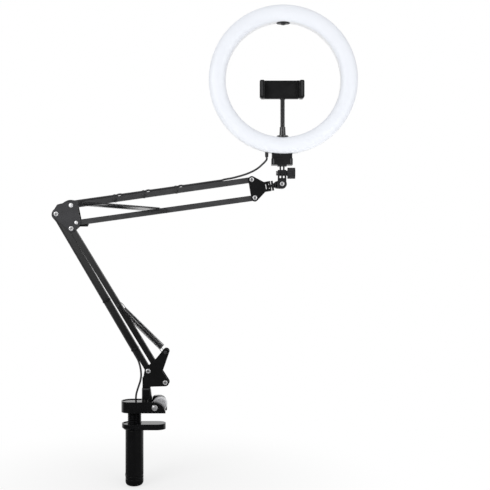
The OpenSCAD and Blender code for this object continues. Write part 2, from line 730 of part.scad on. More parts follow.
// Link with two prongs below and three prongs above, at right angles
prong_side = 0.15;
module knuckle_link() {
    web_lo = prong_r + knuckle_gap;
    web_hi = knuckle_rise - top_prong_r - top_gap;
    half_w = 2.5 * prong_t;
    color("#1d1d1f") translate([knuckle[0], 0, knuckle[1]]) difference() {
        union() {
            for (s = [-1, 1]) {
                along_y([0, 0], s * prong_t - prong_t / 2 + prong_side)
                    cylinder(r = prong_r, h = prong_t - 2 * prong_side);
                translate([-half_w, s * prong_t - prong_t / 2 + prong_side, 0])
                    cube([2 * half_w, prong_t - 2 * prong_side, web_lo + 0.5]);
            }
            translate([-half_w, -top_prong_r, web_lo]) cube([2 * half_w, 2 * top_prong_r, web_hi - web_lo]);
            for (k = [-1:1]) {
                translate([0, 0, knuckle_rise]) prong((2 * k - 0.5) * prong_t, (2 * k + 0.5) * prong_t, top_prong_r);
                translate([(2 * k - 0.5) * prong_t, -top_prong_r, web_hi - 0.5])
                    cube([prong_t, 2 * top_prong_r, knuckle_rise - web_hi + 0.5]);
            }
        }
        along_y([0, 0], -20) cylinder(d = pin_hole + 2 * run_clear, h = 40);
        translate([-20, 0, knuckle_rise]) rotate([0, 90, 0]) cylinder(d = pin_hole + 2 * fit_clear, h = 40);
    }
}
// Screw of the upper knuckle, with its nut
knob_neck = 2;
module knob_screw() {
    half_w = 2.5 * prong_t;
    color("#8e8e90") translate([top_knuckle[0], 0, top_knuckle[1]]) rotate([0, 90, 0]) {
        translate([0, 0, -half_w]) cylinder(d = pin_hole, h = 2 * half_w + knob_neck + knob_len - 3);
        translate([0, 0, -half_w - 3]) cylinder(r = 4, h = 3, $fn = 6);
    }
}
// Ribbed thumb knob on the screw
module thumb_knob() {
    ribs = 20;
    start = 2.5 * prong_t + move_clear;
    color("#1a1a1b") translate([top_knuckle[0] + start, 0, top_knuckle[1]]) rotate([0, 90, 0]) difference() {
        union() {
            cylinder(d = 9, h = knob_neck);
            translate([0, 0, knob_neck - move_clear]) linear_extrude(knob_len) polygon([for (i = [0:ribs - 1])
                each [polar(knob_d / 2 - 0.7, 360 * (i - 0.3) / ribs), polar(knob_d / 2, 360 * (i - 0.15) / ribs),
                    polar(knob_d / 2, 360 * (i + 0.15) / ribs), polar(knob_d / 2 - 0.7, 360 * (i + 0.3) / ribs)]]);
        }
        translate([0, 0, -1]) cylinder(d = pin_hole + 2 * run_clear, h = knob_neck + knob_len - 1.6);
    }
}
// Foot of the ring: two prongs under a flared base
module ring_foot() {
    base_h = 2.8;
    rise = box_floor - top_knuckle[1];
    color("#1d1d1f") translate([top_knuckle[0], 0, top_knuckle[1]]) difference() {
        union() {
            for (s = [-1, 1]) {
                prong(s * prong_t - prong_t / 2 + prong_side, s * prong_t + prong_t / 2 - prong_side, foot_prong_r);
                translate([s * prong_t - prong_t / 2 + prong_side, -foot_prong_r, 0])
                    cube([prong_t - 2 * prong_side, 2 * foot_prong_r, rise - base_h + 0.5]);
            }
            translate([0, 0, rise - base_h]) linear_extrude(base_h) square([16, 2 * top_prong_r + 2], center = true);
        }
        translate([-20, 0, 0]) rotate([0, 90, 0]) cylinder(d = pin_hole + 2 * run_clear, h = 40);
    }
}
// Box under the ring, wider below, hollowed to sit on the ring's rim
module foot_box() {
    step_z = box_floor + 11;
    color("#1f1f22") difference() {
        union() {
            translate([top_knuckle[0] - box_w / 2, box_mid_y - box_depth / 2, box_floor])
                cube([box_w, box_depth, step_z - box_floor]);
            translate([top_knuckle[0] - box_w / 2 + 0.8, box_mid_y - box_depth / 2 + 0.8, step_z - eps])
                cube([box_w - 1.6, box_depth - 1.6, box_top - step_z]);
        }
        ring_frame() translate([0, 0, -30]) cylinder(r = ring_r + fit_clear, h = 80, $fn = 160);
    }
}
// Back shell of the ring: a channel, open to the front
module ring_shell() {
    back_round = 4;
    wall = shell_wall;
    color("#e9eaec") ring_frame() rotate_extrude($fn = 160) polygon(concat(
        [[ring_in, shell_front], [ring_in, shell_back - back_round]],
        [for (a = [15:15:75]) [ring_in + back_round * (1 - cos(a)), shell_back - back_round * (1 - sin(a))]],
        [[ring_in + back_round, shell_back], [ring_r - back_round, shell_back]],
        [for (a = [75:-15:15]) [ring_r - back_round * (1 - cos(a)), shell_back - back_round * (1 - sin(a))]],
        [[ring_r, shell_back - back_round], [ring_r, shell_front], [ring_r - wall, shell_front],
            [ring_r - wall, shell_back - wall - 2], [ring_r - wall - 2, shell_back - wall],
            [ring_in + wall + 2, shell_back - wall], [ring_in + wall, shell_back - wall - 2],
            [ring_in + wall, shell_front]]
    ));
}
// Domed diffuser, with a lip inside the shell
module ring_diffuser() {
    mid = (ring_r + ring_in) / 2;
    half = band_w / 2;
    skin = 2.2;
    lip = shell_wall + ring_clear;
    color("#f4f6ff") ring_frame() rotate_extrude($fn = 160) polygon(concat(
        [for (a = [180:15:360]) [mid + half * cos(a), shell_front + dome_h * sin(a)]],
        [[mid + half - lip, shell_front], [mid + half - lip, shell_front + 3],
            [mid + half - lip - skin, shell_front + 3]],
        [for (a = [345:-15:195]) [mid + (half - lip - skin) * cos(a), shell_front + (dome_h - skin) * sin(a)]],
        [[mid - half + lip + skin, shell_front + 3], [mid - half + lip, shell_front + 3],
            [mid - half + lip, shell_front]]
    ));
}
// Board with the light chips, on ribs inside the shell
module led_board() {
    chips = 60;
    mid = (ring_r + ring_in) / 2;
    seat = shell_wall + ring_clear;
    board_y = shell_back - shell_wall - 3.6;
    color("#e8e8d8") {
        ring_frame() translate([0, 0, board_y]) difference() {
            cylinder(r = ring_r - seat, h = 1.6, $fn = 160);
            translate([0, 0, -1]) cylinder(r = ring_in + seat, h = 4, $fn = 160);
        }
        ring_frame() for (i = [1:chips]) rotate(360 * i / chips)
            translate([mid - 2.5, -2.5, board_y - 1.4]) cube([5, 5, 1.4 + eps]);
    }
}
// Tapered strain relief where the cord leaves the ring
module ring_gland() {
    color("#202022") difference() {
        translate(gland_at - [0, 0, gland_len]) cylinder(r1 = cord_r + 1.1, r2 = cord_r + 1.6, h = gland_len + 3);
        ring_frame() translate([0, 0, -30]) cylinder(r = ring_r + fit_clear, h = 80, $fn = 160);
    }
}
// Threaded socket inside the top of the ring
socket_hole = 5.1;
module top_socket() {
    wall_z = ring_c[1] + ring_in;
    color("#1d1d1f") intersection() {
        translate([ring_c[0], box_mid_y - 4, wall_z - socket_t]) difference() {
            union() {
                cylinder(r = 11.8, h = 8);
                translate([0, 0, -1.6]) cylinder(r = 4.4, h = 2);
            }
            translate([0, 0, -2]) cylinder(d = socket_hole, h = 6);
        }
        ring_frame() translate([0, 0, -40]) cylinder(r = ring_in - fit_clear, h = 100, $fn = 160);
    }
}
// Ferrule that screws into the bottom of the ring and grips the gooseneck
stem_y = box_mid_y - 4;
module stem_ferrule() {
    color("#2a2a2c") difference() {
        translate([stem_x, stem_y, stem_z]) rotate_extrude() polygon([
            [0, -4], [10.5, -4], [10.5, socket_t - 0.8], [9.6, socket_t], [5.8, socket_t + 0.2], [5.4, socket_t + 6],
            [5, socket_t + ferrule_h], [gooseneck_d / 2 + fit_clear, socket_t + ferrule_h],
            [gooseneck_d / 2 + fit_clear, socket_t + 3], [0, socket_t + 3]
        ]);
        ring_frame() translate([0, 0, -40]) difference() {
            cylinder(r = ring_r, h = 100, $fn = 160);
            translate([0, 0, -1]) cylinder(r = ring_in - fit_clear, h = 102, $fn = 160);
        }
    }
}
// Gooseneck, with its rings
module gooseneck() {
    rings = 22;
    r = gooseneck_d / 2;
    foot = socket_t + 3 + fit_clear;
    free = socket_t + ferrule_h;
    color("#1d1d1f") translate([stem_x, stem_y, stem_z]) rotate_extrude($fn = 32) polygon(concat(
        [[0, foot], [r - 0.3, foot], [r - 0.3, free]],
        [for (i = [0:rings - 1]) let (z = free + gooseneck_len * i / rings, s = gooseneck_len / rings)
            each [[r - 0.5, z + 0.1 * s], [r - 0.05, z + 0.35 * s], [r - 0.05, z + 0.65 * s], [r - 0.5, z + 0.9 * s]]],
        [[r - 0.5, free + gooseneck_len], [0, free + gooseneck_len]]
    ));
}
// Back of the phone holder with its fixed jaw and the two guide grooves
rail_half = 4;
module phone_back() {
    x0 = holder_x - holder_w / 2;
    back_w = holder_w - holder_jaw - move_clear;
    color("#1c1c1e") difference() {
        union() {
            translate([x0, holder_front_y, holder_z + move_clear + back_lift]) cube([back_w, holder_plate_t, holder_h]);
            translate([stem_x, stem_y, holder_z + move_clear]) cylinder(d = gooseneck_d + 1.6, h = back_lift + 1);
            translate([x0, holder_front_y - holder_jaw_out, holder_z + move_clear])
                cube([holder_jaw, holder_jaw_out + eps, holder_h]);
        }
        translate([x0 + holder_jaw - 2, holder_front_y - holder_jaw_out + 3, holder_z - 1])
            cube([3, holder_jaw_out - 5, holder_h + 4]);
        for (z = [holder_h * 0.28, holder_h * 0.72])
            translate([x0 + 14, holder_front_y + holder_plate_t / 2 - rail_half / 2 - move_clear, holder_z + z - 3.3])
                cube([holder_w, rail_half + 2 * move_clear, 6.6]);
    }
}
// Sliding jaw with its two rails
module phone_jaw() {
    x1 = holder_x + holder_w / 2;
    rail_len = holder_w - holder_jaw - 18;
    color("#1c1c1e") difference() {
        union() {
            translate([x1 - holder_jaw, holder_front_y - holder_jaw_out, holder_z + move_clear])
                cube([holder_jaw, holder_jaw_out + holder_plate_t, holder_h]);
            for (z = [holder_h * 0.28, holder_h * 0.72])
                translate([x1 - holder_jaw - rail_len, holder_front_y + holder_plate_t / 2 - rail_half / 2, holder_z + z - 3])
                    cube([rail_len + 1, rail_half, 6]);
        }
        translate([x1 - holder_jaw - 1, holder_front_y - holder_jaw_out + 3, holder_z - 1])
            cube([3, holder_jaw_out - 5, holder_h + 4]);
    }
}
module cord_head() {
    color("#29292b") tube(head_points, cord_r, 8);
}
module cord_upper() {
    color("#29292b") tube([flat(upper_start, 0), flat((upper_start + upper_end) / 2, 0), flat(upper_end, 0)], cord_r, 8);
}
module cord_elbow() {
    color("#29292b") tube(elbow_points, cord_r, 8);
}
module cord_lower() {
    color("#29292b") tube([flat(lower_start, 0), flat((lower_start + lower_end) / 2, 0), flat(lower_end, 0)], cord_r, 8);
}
module cord_drop() {
    color("#29292b") tube(drop_points, cord_r, 8);
}
// Band round a bar and the cord on it, at a distance along the bar
module bar_tie(p, angle, x) {
    half = bar / 2 + 0.2;
    band_t = 0.9;
    band_w_tie = 3;
    high = lift + cord_r + 0.2;
    translate([p[0], 0, p[1]]) rotate([0, -angle, 0]) translate([x - band_w_tie / 2, 0, 0]) difference() {
        translate([0, -half - band_t, -half - band_t]) cube([band_w_tie, 2 * (half + band_t), half + high + 2 * band_t]);
        translate([-1, -half, -half]) cube([band_w_tie + 2, 2 * half, half + high]);
    }
}
module upper_ties() {
    color("#1a1a1b") for (x = [0.24, 0.4, 0.58]) bar_tie(elbow_c, upper_angle, x * upper_len);
}
module lower_ties() {
    color("#1a1a1b") for (x = [0.14, 0.45]) bar_tie(base_a, lower_angle, x * lower_len);
}
// Hank of the spare cord, hanging behind the handle
module cord_hank() {
    echo("least gap of the hank to itself", self_gap(hank_points, 14) - cord_d);
    color("#29292b") tube(hank_points, cord_r, 6);
}
// Strap round the waist of the hank
module hank_tie() {
    half_x = hank_bend - hank_waist + cord_r + 0.4;
    depth = hank_step * (hank_loops - 0.4) + cord_d + 0.8;
    strap_t = 1;
    color("#1a1a1b") translate([hank_x, hank_y - cord_r - 0.4, hank_z - 5]) difference() {
        translate([-half_x - strap_t, -strap_t, 0]) cube([2 * (half_x + strap_t), depth + 2 * strap_t, 10]);
        translate([-half_x, 0, -1]) cube([2 * half_x, depth, 12]);
    }
}
// Plug on the end of the cord: a moulded grip and a metal shell
plug_w = 15;
plug_t = 7.6;
plug_len = 20;
module usb_grip() {
    color("#232325") translate(hank_end) rotate([180, 0, 0]) {
        cylinder(r1 = cord_r + 0.4, r2 = cord_r + 1.4, h = 6);
        translate([-plug_t / 2, -plug_w / 2, 6 - eps]) cube([plug_t, plug_w, plug_len]);
    }
}
module usb_shell() {
    shell = [4.5, 12, 12];
    color("#c4c4c6") translate(hank_end) rotate([180, 0, 0]) translate([0, 0, 6 + plug_len - eps]) difference() {
        translate([-shell[0] / 2, -shell[1] / 2, 0]) cube(shell);
        translate([-shell[0] / 2 + 2.4, -shell[1] / 2 + 0.4, 2]) cube([shell[0] - 2.8, shell[1] - 0.8, shell[2]]);
    }
}

clamp_casting();
clamp_post();
cam_bolt();
lock_cam();
lower_jaw();
clamp_handle();
swivel_washer();
swivel_pin();
base_bracket();
base_bolts();
base_spring_pin();
lower_bar_left();
lower_bar_right();
lower_spring_post();
lower_spring_front();
lower_spring_rear();
elbow_plate_front();
elbow_plate_rear();
elbow_bolts();
elbow_stop();
elbow_spring_studs();
upper_bar_top();
upper_bar_bottom();
upper_spring_post();
upper_spring_front();
upper_spring_rear();
fork_plate_front();
fork_plate_rear();
fork_nose();
fork_bolts();
head_stud();
lock_disc();
stud_adapter();
knuckle_bolt();
knuckle_link();
knob_screw();
thumb_knob();
ring_foot();
foot_box();
ring_shell();
ring_diffuser();
led_board();
ring_gland();
top_socket();
stem_ferrule();
gooseneck();
phone_back();
phone_jaw();
cord_head();
cord_upper();
cord_elbow();
cord_lower();
cord_drop();
upper_ties();
lower_ties();
cord_hank();
hank_tie();
usb_grip();
usb_shell();
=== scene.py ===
"""Ring light on a clamp-on spring arm: the looks of each piece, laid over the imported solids."""
import math

import bmesh
import bpy
import numpy as np
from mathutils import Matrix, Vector


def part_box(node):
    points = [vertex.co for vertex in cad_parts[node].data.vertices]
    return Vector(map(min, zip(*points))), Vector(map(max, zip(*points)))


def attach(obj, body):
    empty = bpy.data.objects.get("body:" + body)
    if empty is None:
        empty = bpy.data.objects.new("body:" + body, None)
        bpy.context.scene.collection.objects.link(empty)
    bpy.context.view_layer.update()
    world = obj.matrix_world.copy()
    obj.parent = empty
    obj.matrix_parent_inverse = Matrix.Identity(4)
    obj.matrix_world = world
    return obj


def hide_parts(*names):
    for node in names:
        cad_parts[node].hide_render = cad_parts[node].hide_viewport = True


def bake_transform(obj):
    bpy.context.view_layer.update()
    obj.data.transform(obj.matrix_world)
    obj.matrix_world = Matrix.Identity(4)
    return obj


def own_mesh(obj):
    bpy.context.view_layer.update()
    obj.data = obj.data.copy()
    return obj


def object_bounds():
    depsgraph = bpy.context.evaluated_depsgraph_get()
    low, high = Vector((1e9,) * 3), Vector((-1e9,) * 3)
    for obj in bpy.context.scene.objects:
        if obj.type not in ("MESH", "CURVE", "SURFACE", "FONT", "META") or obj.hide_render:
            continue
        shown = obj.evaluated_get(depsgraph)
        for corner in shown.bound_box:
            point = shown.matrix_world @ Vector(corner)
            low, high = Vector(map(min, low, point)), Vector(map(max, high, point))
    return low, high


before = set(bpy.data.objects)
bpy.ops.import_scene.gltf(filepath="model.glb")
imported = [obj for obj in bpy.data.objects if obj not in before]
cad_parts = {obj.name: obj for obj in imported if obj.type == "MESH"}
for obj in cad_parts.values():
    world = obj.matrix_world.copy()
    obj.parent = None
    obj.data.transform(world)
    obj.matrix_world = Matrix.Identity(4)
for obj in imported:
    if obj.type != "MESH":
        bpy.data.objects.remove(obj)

solid_box = [list(corner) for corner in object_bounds()]
mm = 0.001


# Upper jaw of the clamp: one die casting with a tray on top, a boss for the arm and two cheeks for the cam,
# in gloss black enamel. It is the fixed jaw, and everything else hangs on it.
class ShaderNodes:
    """Adds nodes to a shader's tree. Methods that work out one thing return the output that carries it."""

    def __init__(self, tree):
        self.tree = tree

    def fill(self, node, inputs):
        """Sets inputs of a node to values, or links them to outputs."""
        for key, value in dict(inputs).items():
            if isinstance(value, bpy.types.NodeSocket):
                self.tree.links.new(value, node.inputs[key])
            else:
                node.inputs[key].default_value = value

    def add(self, kind, inputs=(), **settings):
        """A new node, with its settings made and its inputs filled."""
        node = self.tree.nodes.new("ShaderNode" + kind)
        for key, value in settings.items():
            setattr(node, key, value)
        self.fill(node, inputs)
        return node

    def noise(self, place, scale, detail, roughness=0.5):
        """A cloudy pattern from 0 to 1."""
        inputs = {"Vector": place, "Scale": scale, "Detail": detail, "Roughness": roughness}
        return self.add("TexNoise", inputs).outputs["Fac"]

    def ranged(self, value, low, high, out_low=0.0, out_high=1.0, kind="LINEAR"):
        """A value carried from one range to another and held at its ends."""
        inputs = {"Value": value, "From Min": low, "From Max": high, "To Min": out_low, "To Max": out_high}
        return self.add("MapRange", inputs, interpolation_type=kind).outputs["Result"]

    def reckon(self, operation, *values):
        """One sum on numbers."""
        return self.add("Math", dict(enumerate(values)), operation=operation).outputs[0]

    def part_of(self, vector, axis):
        """One part of a vector: X, Y or Z."""
        return self.add("SeparateXYZ", {0: vector}).outputs[axis]

    def mixed(self, factor, first, second):
        """The colour between two that a factor gives. Sockets 6 and 7 take colours, and 2 gives one."""
        return self.add("Mix", {"Factor": factor, 6: first, 7: second}, data_type="RGBA").outputs[2]

    def tones(self, pattern, dark, light):
        """A colour that goes from dark to light as a pattern goes from 0.3 to 0.7."""
        node = self.add("ValToRGB", {"Fac": pattern})
        for stop, place, colour in zip(node.color_ramp.elements, (0.3, 0.7), (dark, light)):
            stop.position, stop.color = place, (*colour, 1)
        return node.outputs["Color"]

    def drifting(self, pattern, colour, drift):
        """A colour that drifts with a pattern, by a share of itself each way."""
        dark, light = ([min(1.0, c * (1 + way * drift)) for c in colour] for way in (-1, 1))
        return self.tones(pattern, dark, light)


def shader(name):
    """A new material, its Principled shader, its nodes, and the place on the object that they work from."""
    material = bpy.data.materials.new(name)
    material.use_nodes = True
    net = ShaderNodes(material.node_tree)
    return material, net.tree.nodes["Principled BSDF"], net, net.add("TexCoord").outputs["Object"]


def coated(name, colour, rough, shine=0.25, grain=0.5, relief=0.02, drift=0.2, wear=0.1, edge=0.4,
           inner_shade=None, fade=None):
    """Paint or moulded plastic: the colour drifts and goes grey on rubbed edges, roughness drifts too, and
    a fine noise of the grain's size raises the relief, in mm. Shade between plates can be painted in: a
    depth off the middle plane, and how dark the colour is painted inside that. A fade is painted light:
    two heights, and the grey that the colour goes to between them as it climbs."""
    material, surface, net, place = shader(name)
    smear = net.noise(place, scale=170.0, detail=5.0, roughness=0.65)
    fine = net.noise(place, scale=1 / (grain * mm), detail=3.0)
    tone = net.drifting(net.noise(place, scale=60.0, detail=4.0), colour, drift)
    # Painted light: the colour goes over to a grey between two heights.
    if fade:
        low, high, grey = fade
        climb = net.ranged(net.part_of(place, "Z"), low * mm, high * mm)
        tone = net.mixed(climb, tone, (grey, grey, grey, 1))
    eased = net.add("Bevel", {"Radius": edge * mm}, samples=4).outputs["Normal"]
    flat = net.add("NewGeometry").outputs["True Normal"]
    along = net.add("VectorMath", {0: eased, 1: flat}, operation="DOT_PRODUCT").outputs["Value"]
    rim = net.ranged(along, 0.98, 0.78, 0.0, wear)
    tone = net.mixed(net.reckon("MULTIPLY", rim, smear), tone, (0.35, 0.35, 0.36, 1))
    # Painted shade: between plates, inside a depth off the middle plane, the colour goes dark.
    if inner_shade:
        depth, dark = inner_shade
        off = net.reckon("ABSOLUTE", net.part_of(place, "Y"))
        inside = net.ranged(off, depth * mm, (depth - 0.1) * mm)
        tone = net.mixed(inside, tone, (dark, dark, dark, 1))
    bump = net.add("Bump", {"Strength": 1.0, "Distance": relief * mm, "Height": fine, "Normal": eased})
    gloss = net.ranged(smear, 0.3, 0.7, rough * 0.82, rough * 1.2)
    net.fill(surface, {"Base Color": tone, "Roughness": gloss, "Specular IOR Level": shine,
                       "Normal": bump.outputs["Normal"]})
    return material


def finish(material, *nodes):
    """Gives CAD nodes their finish, in the slots that they came with."""
    for node in nodes:
        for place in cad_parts[node].material_slots:
            place.material = material


clamp_enamel = coated("clamp_enamel", (0.0026, 0.0026, 0.003), rough=0.13, shine=0.36, grain=0.9,
                      relief=0.008, drift=0.25, wear=0.05, edge=0.7)
finish(clamp_enamel, "clamp_casting")


# Clamp post: a thick rod pressed into the casting and cut with a shallow thread, blackened. The lower jaw
# slides on it and the handle runs on its thread.
def grid_faces(rows, columns):
    """Quads between the neighbours of a grid of points that wraps round its columns."""
    i, j = np.arange(rows - 1)[:, None], np.arange(columns)[None, :]
    right = (j + 1) % columns
    corners = [i * columns + j, i * columns + right, (i + 1) * columns + right, (i + 1) * columns + j]
    return np.stack(np.broadcast_arrays(*corners), -1).reshape(-1, 4)


def joined(grids):
    """Points and faces of closed grids that wrap round their columns. A grid's faces are turned outwards by
    the sign of the volume that they close."""
    points, faces, start = [], [], 0
    for grid in grids:
        flat = grid.reshape(-1, 3)
        quads = grid_faces(*grid.shape[:2])
        a, b, c, d = (flat[quads[:, k]] - flat.mean(0) for k in range(4))
        volume = (np.cross(a, b) * c).sum() + (np.cross(a, c) * d).sum()
        points.append(flat)
        faces.append((quads if volume > 0 else quads[:, ::-1]) + start)
        start += len(flat)
    return np.concatenate(points), np.concatenate(faces)


def placed(name, data):
    """A new object of the given data, in the scene."""
    made = bpy.data.objects.new(name, data)
    bpy.context.scene.collection.objects.link(made)
    return made


def piece(name, grids, material, body=None, nodes=(), crease=38):
    """A mesh piece from closed grids in mm: poles and seams are merged, faces are smooth up to the crease
    angle, and the piece rides on its body and stands for the CAD nodes named."""
    points, faces = joined(grids)
    mesh = bpy.data.meshes.new(name)
    mesh.from_pydata((points * mm).tolist(), [], faces.tolist())
    work = bmesh.new()
    work.from_mesh(mesh)
    bmesh.ops.remove_doubles(work, verts=work.verts, dist=0.002 * mm)
    work.to_mesh(mesh)
    work.free()
    mesh.materials.append(material)
    mesh.polygons.foreach_set("use_smooth", np.ones(len(mesh.polygons), bool))
    mesh.set_sharp_from_angle(angle=math.radians(crease))
    made = placed(name, mesh)
    if body:
        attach(made, body)
    if nodes:
        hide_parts(*nodes)
    return made


def box_of(node):
    """Lowest and highest corner of a CAD node, in mm."""
    low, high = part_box(node)
    return np.array(low) / mm, np.array(high) / mm


def around_z(centre, radius, height, columns=1):
    """Rings round an upright axis, from a radius and a height for each ring or for each of its points."""
    radius, height = (np.asarray(v, float).reshape(len(v), -1) for v in (radius, height))
    turn = np.linspace(0, 2 * np.pi, max(radius.shape[1], columns), endpoint=False)[None, :]
    x, y = centre[0] + radius * np.cos(turn), centre[1] + radius * np.sin(turn)
    return np.stack(np.broadcast_arrays(x, y, centre[2] + height + 0 * turn), -1)


def threaded(radius, depth, pitch, low, high, columns=48):
    """Radius and height of a cut thread: the crest radius less a rounded groove that climbs one pitch in
    each turn. The thread runs out at both ends, which close on the axis."""
    climb = np.linspace(low, high, int(10 * (high - low) / pitch))
    height = np.concatenate([[low, low], climb, [high, high]])
    turn = np.linspace(0, 1, columns, endpoint=False)[None, :]
    phase = (height[:, None] / pitch - turn) % 1
    groove = depth * np.clip(1.2 * np.sin(np.pi * phase), 0, 1) ** 2
    run_out = np.clip(np.minimum(height - low, high - height) / (0.5 * pitch), 0, 1)[:, None]
    wall = radius - depth + (depth - groove) * run_out
    wall[0], wall[-1] = 0, 0
    return wall, np.repeat(height[:, None], columns, 1)


def plated(name, colour, rough, stretch=(1, 1, 1), scratch=0.006, drift=0.12, edge=0.25, metal=1.0,
           recess_shade=0.0):
    """Plated or bare metal: tone follows a slow noise, and a fine noise stretched along the working
    direction gives the roughness and the scratches. A painted shade darkens recesses."""
    material, surface, net, place = shader(name)
    stretched = net.add("Mapping", {"Vector": place, "Scale": stretch}).outputs["Vector"]
    lines = net.noise(stretched, scale=900.0, detail=4.0)
    tone = net.drifting(net.noise(place, scale=140.0, detail=3.0), colour, drift)
    # Painted shade: the colour goes near black where ambient occlusion finds a recess.
    if recess_shade:
        sky = net.add("AmbientOcclusion", {"Distance": 2.5 * mm}, samples=8, only_local=True).outputs["AO"]
        unshaded = net.ranged(sky, 0.4, 0.85, 1 - recess_shade)
        tone = net.mixed(unshaded, (0.02, 0.02, 0.02, 1), tone)
    eased = net.add("Bevel", {"Radius": edge * mm}, samples=4).outputs["Normal"]
    bump = net.add("Bump", {"Strength": 0.6, "Distance": scratch * mm, "Height": lines, "Normal": eased})
    gloss = net.ranged(lines, 0.3, 0.7, rough * 0.75, rough * 1.25)
    net.fill(surface, {"Base Color": tone, "Metallic": metal, "Roughness": gloss,
                       "Normal": bump.outputs["Normal"]})
    return material


post_black = plated("post_black", (0.012, 0.012, 0.013), rough=0.42)
post_low, post_high = box_of("clamp_post")
post_r, post_x = (post_high[0] - post_low[0]) / 2, (post_high[0] + post_low[0]) / 2
wall, rise = threaded(post_r, depth=0.6, pitch=3.0, low=post_low[2], high=post_high[2], columns=72)
post = around_z((post_x, 0, 0), wall, rise)
piece("post_threaded", [post], post_black, "clamp", ["clamp_post"])

# Lower jaw: a second casting in the same enamel, free on the post, with a shallow tray in its heel. The
# handle presses it up towards the fixed jaw.
finish(clamp_enamel, "lower_jaw")

# Handle: a long moulded nut, satin black, with two grooves near its foot. Screwed up the post, it pushes
# the lower jaw.
handle_moulding = coated("handle_moulding", (0.0024, 0.0024, 0.0026), rough=0.32, shine=0.2, grain=0.35,
                         relief=0.01, wear=0.02, edge=0.8)
finish(handle_moulding, "clamp_handle")

# Locking cam and its cross bolt: a ribbed aluminium wheel set off its axis, on a plated bolt through both
# cheeks. Rocked by hand, it nips the arm's pin in the boss.
cam_metal = plated("cam_metal", (0.66, 0.66, 0.68), rough=0.3, stretch=(1, 0.05, 1), scratch=0.012,
                   metal=0.6)
# This plating's sockets and recesses are darkened by painted shade.
bolt_plating = plated("bolt_plate", (0.74, 0.74, 0.75), rough=0.36, metal=0.6, recess_shade=0.95)
finish(cam_metal, "lock_cam")


def soft_step(value, width=0.05):
    """0 below the edge and 1 above it, with a straight ramp of the given width."""
    return np.clip(value / width + 0.5, 0, 1)


def recess_of(kind, x, z):
    """How deep a driver's recess is, from 0 to 1, on a head of radius 1: a cross or a hexagon."""
    bar_w, bar_l, hex_w = 0.16, 0.62, 0.48
    if kind == "cross":
        bars = [soft_step(bar_w - abs(a)) * soft_step(bar_l - abs(b)) for a, b in ((x, z), (z, x))]
        return np.maximum(*bars)
    if kind == "hex":
        sides = [abs(x * math.cos(a) + z * math.sin(a)) for a in np.radians((30, 90, 150))]
        return soft_step(hex_w - np.max(sides, axis=0))
    return 0 * x


def bolt(centre, half, radius=4.0, rise=2.4, kind="", crown=0.25, shank=2.5, nut=4.3, nut_h=2.4):
    """A pivot bolt across the bracket: a domed head in front with a rounded rim and a pressed recess, the
    shank, and behind it a hexagon nut whose corners are turned down."""
    turn = np.linspace(0, 2 * np.pi, 48, endpoint=False)[None, :]

    def rows(values):
        return np.array(values)[:, None] + 0 * turn

    rim_at, side, pressed_in = 0.8, 0.45, 0.8
    dome, rim = np.linspace(0, rim_at, 20), np.radians(np.linspace(0, 90, 6)[1:])
    out = np.concatenate([dome, rim_at + (1 - rim_at) * np.sin(rim), [1, 0]])[:, None] * radius
    shoulder = (1 - side - rim_at**2 * crown) * np.cos(rim)
    tall = np.concatenate([1 - crown * dome**2, side + shoulder, [0, 0]])[:, None] * rise
    top = (np.arange(len(out)) < len(dome))[:, None]
    pressed = recess_of(kind, out * np.cos(turn) / radius, out * np.sin(turn) / radius)
    tall = tall - pressed_in * rise * pressed * top
    corner = nut * math.cos(np.pi / 6) / np.cos((turn % (np.pi / 3)) - np.pi / 6)
    chamfer = [np.minimum(corner, nut * k) for k in (0, 0.84, 0.93, 1, 1, 0)]
    grids = [(out + 0 * turn, -half - tall),
             (rows([0, shank, shank, 0]), rows([-half, -half, half, half])),
             (np.stack(chamfer)[:, 0], half + nut_h * rows([1, 1, 0.86, 0.6, 0, 0]))]
    return [np.stack([centre[0] + r * np.cos(turn), y, centre[1] + r * np.sin(turn)], -1) for r, y in grids]


cheek, cam_pivot = -box_of("clamp_casting")[0][1], (15.5, 9.6)
cross_plating = plated("cross_plate", (0.56, 0.56, 0.57), rough=0.32, metal=0.8)
cross_bolt = bolt(cam_pivot, cheek, radius=5.2, rise=2.6, crown=0.5, shank=3.0, nut=4.8, nut_h=3.0)
piece("cross_bolt", cross_bolt, cross_plating, "clamp", ["cam_bolt"])

# Swivel: a nylon washer between the boss and the base bracket, and the steel pin of the bracket inside the
# boss. The whole arm turns here.
washer_nylon = coated("washer_nylon", (0.03, 0.03, 0.032), rough=0.45, shine=0.3, grain=0.4, relief=0.01)
pin_steel = plated("pin_steel", (0.34, 0.34, 0.35), rough=0.34, metal=0.6)
finish(washer_nylon, "swivel_washer")
finish(pin_steel, "swivel_pin")

# Base bracket: a steel block on the pin with two cheek plates and the ear for the springs, powder coated.
# The lower bars turn on its two bolts, which have a cross recess.
bracket_coat = coated("bracket_coat", (0.0042, 0.0042, 0.0045), rough=0.38, shine=0.16, grain=0.45,
                      wear=0.06, edge=0.5)
finish(bracket_coat, "base_bracket")
plate_face = 7.05
base_a, base_b = (2.9, 72.3), (32.728, 51.876)
# The cross recesses of these screws are darkened by painted shade.
base_plating = plated("base_plate", (0.66, 0.66, 0.67), rough=0.34, metal=0.6, recess_shade=0.95)
base_screws = bolt(base_a, plate_face, kind="cross") + bolt(base_b, plate_face, kind="cross")
piece("base_screws", base_screws, base_plating, "base", ["base_bolts"])

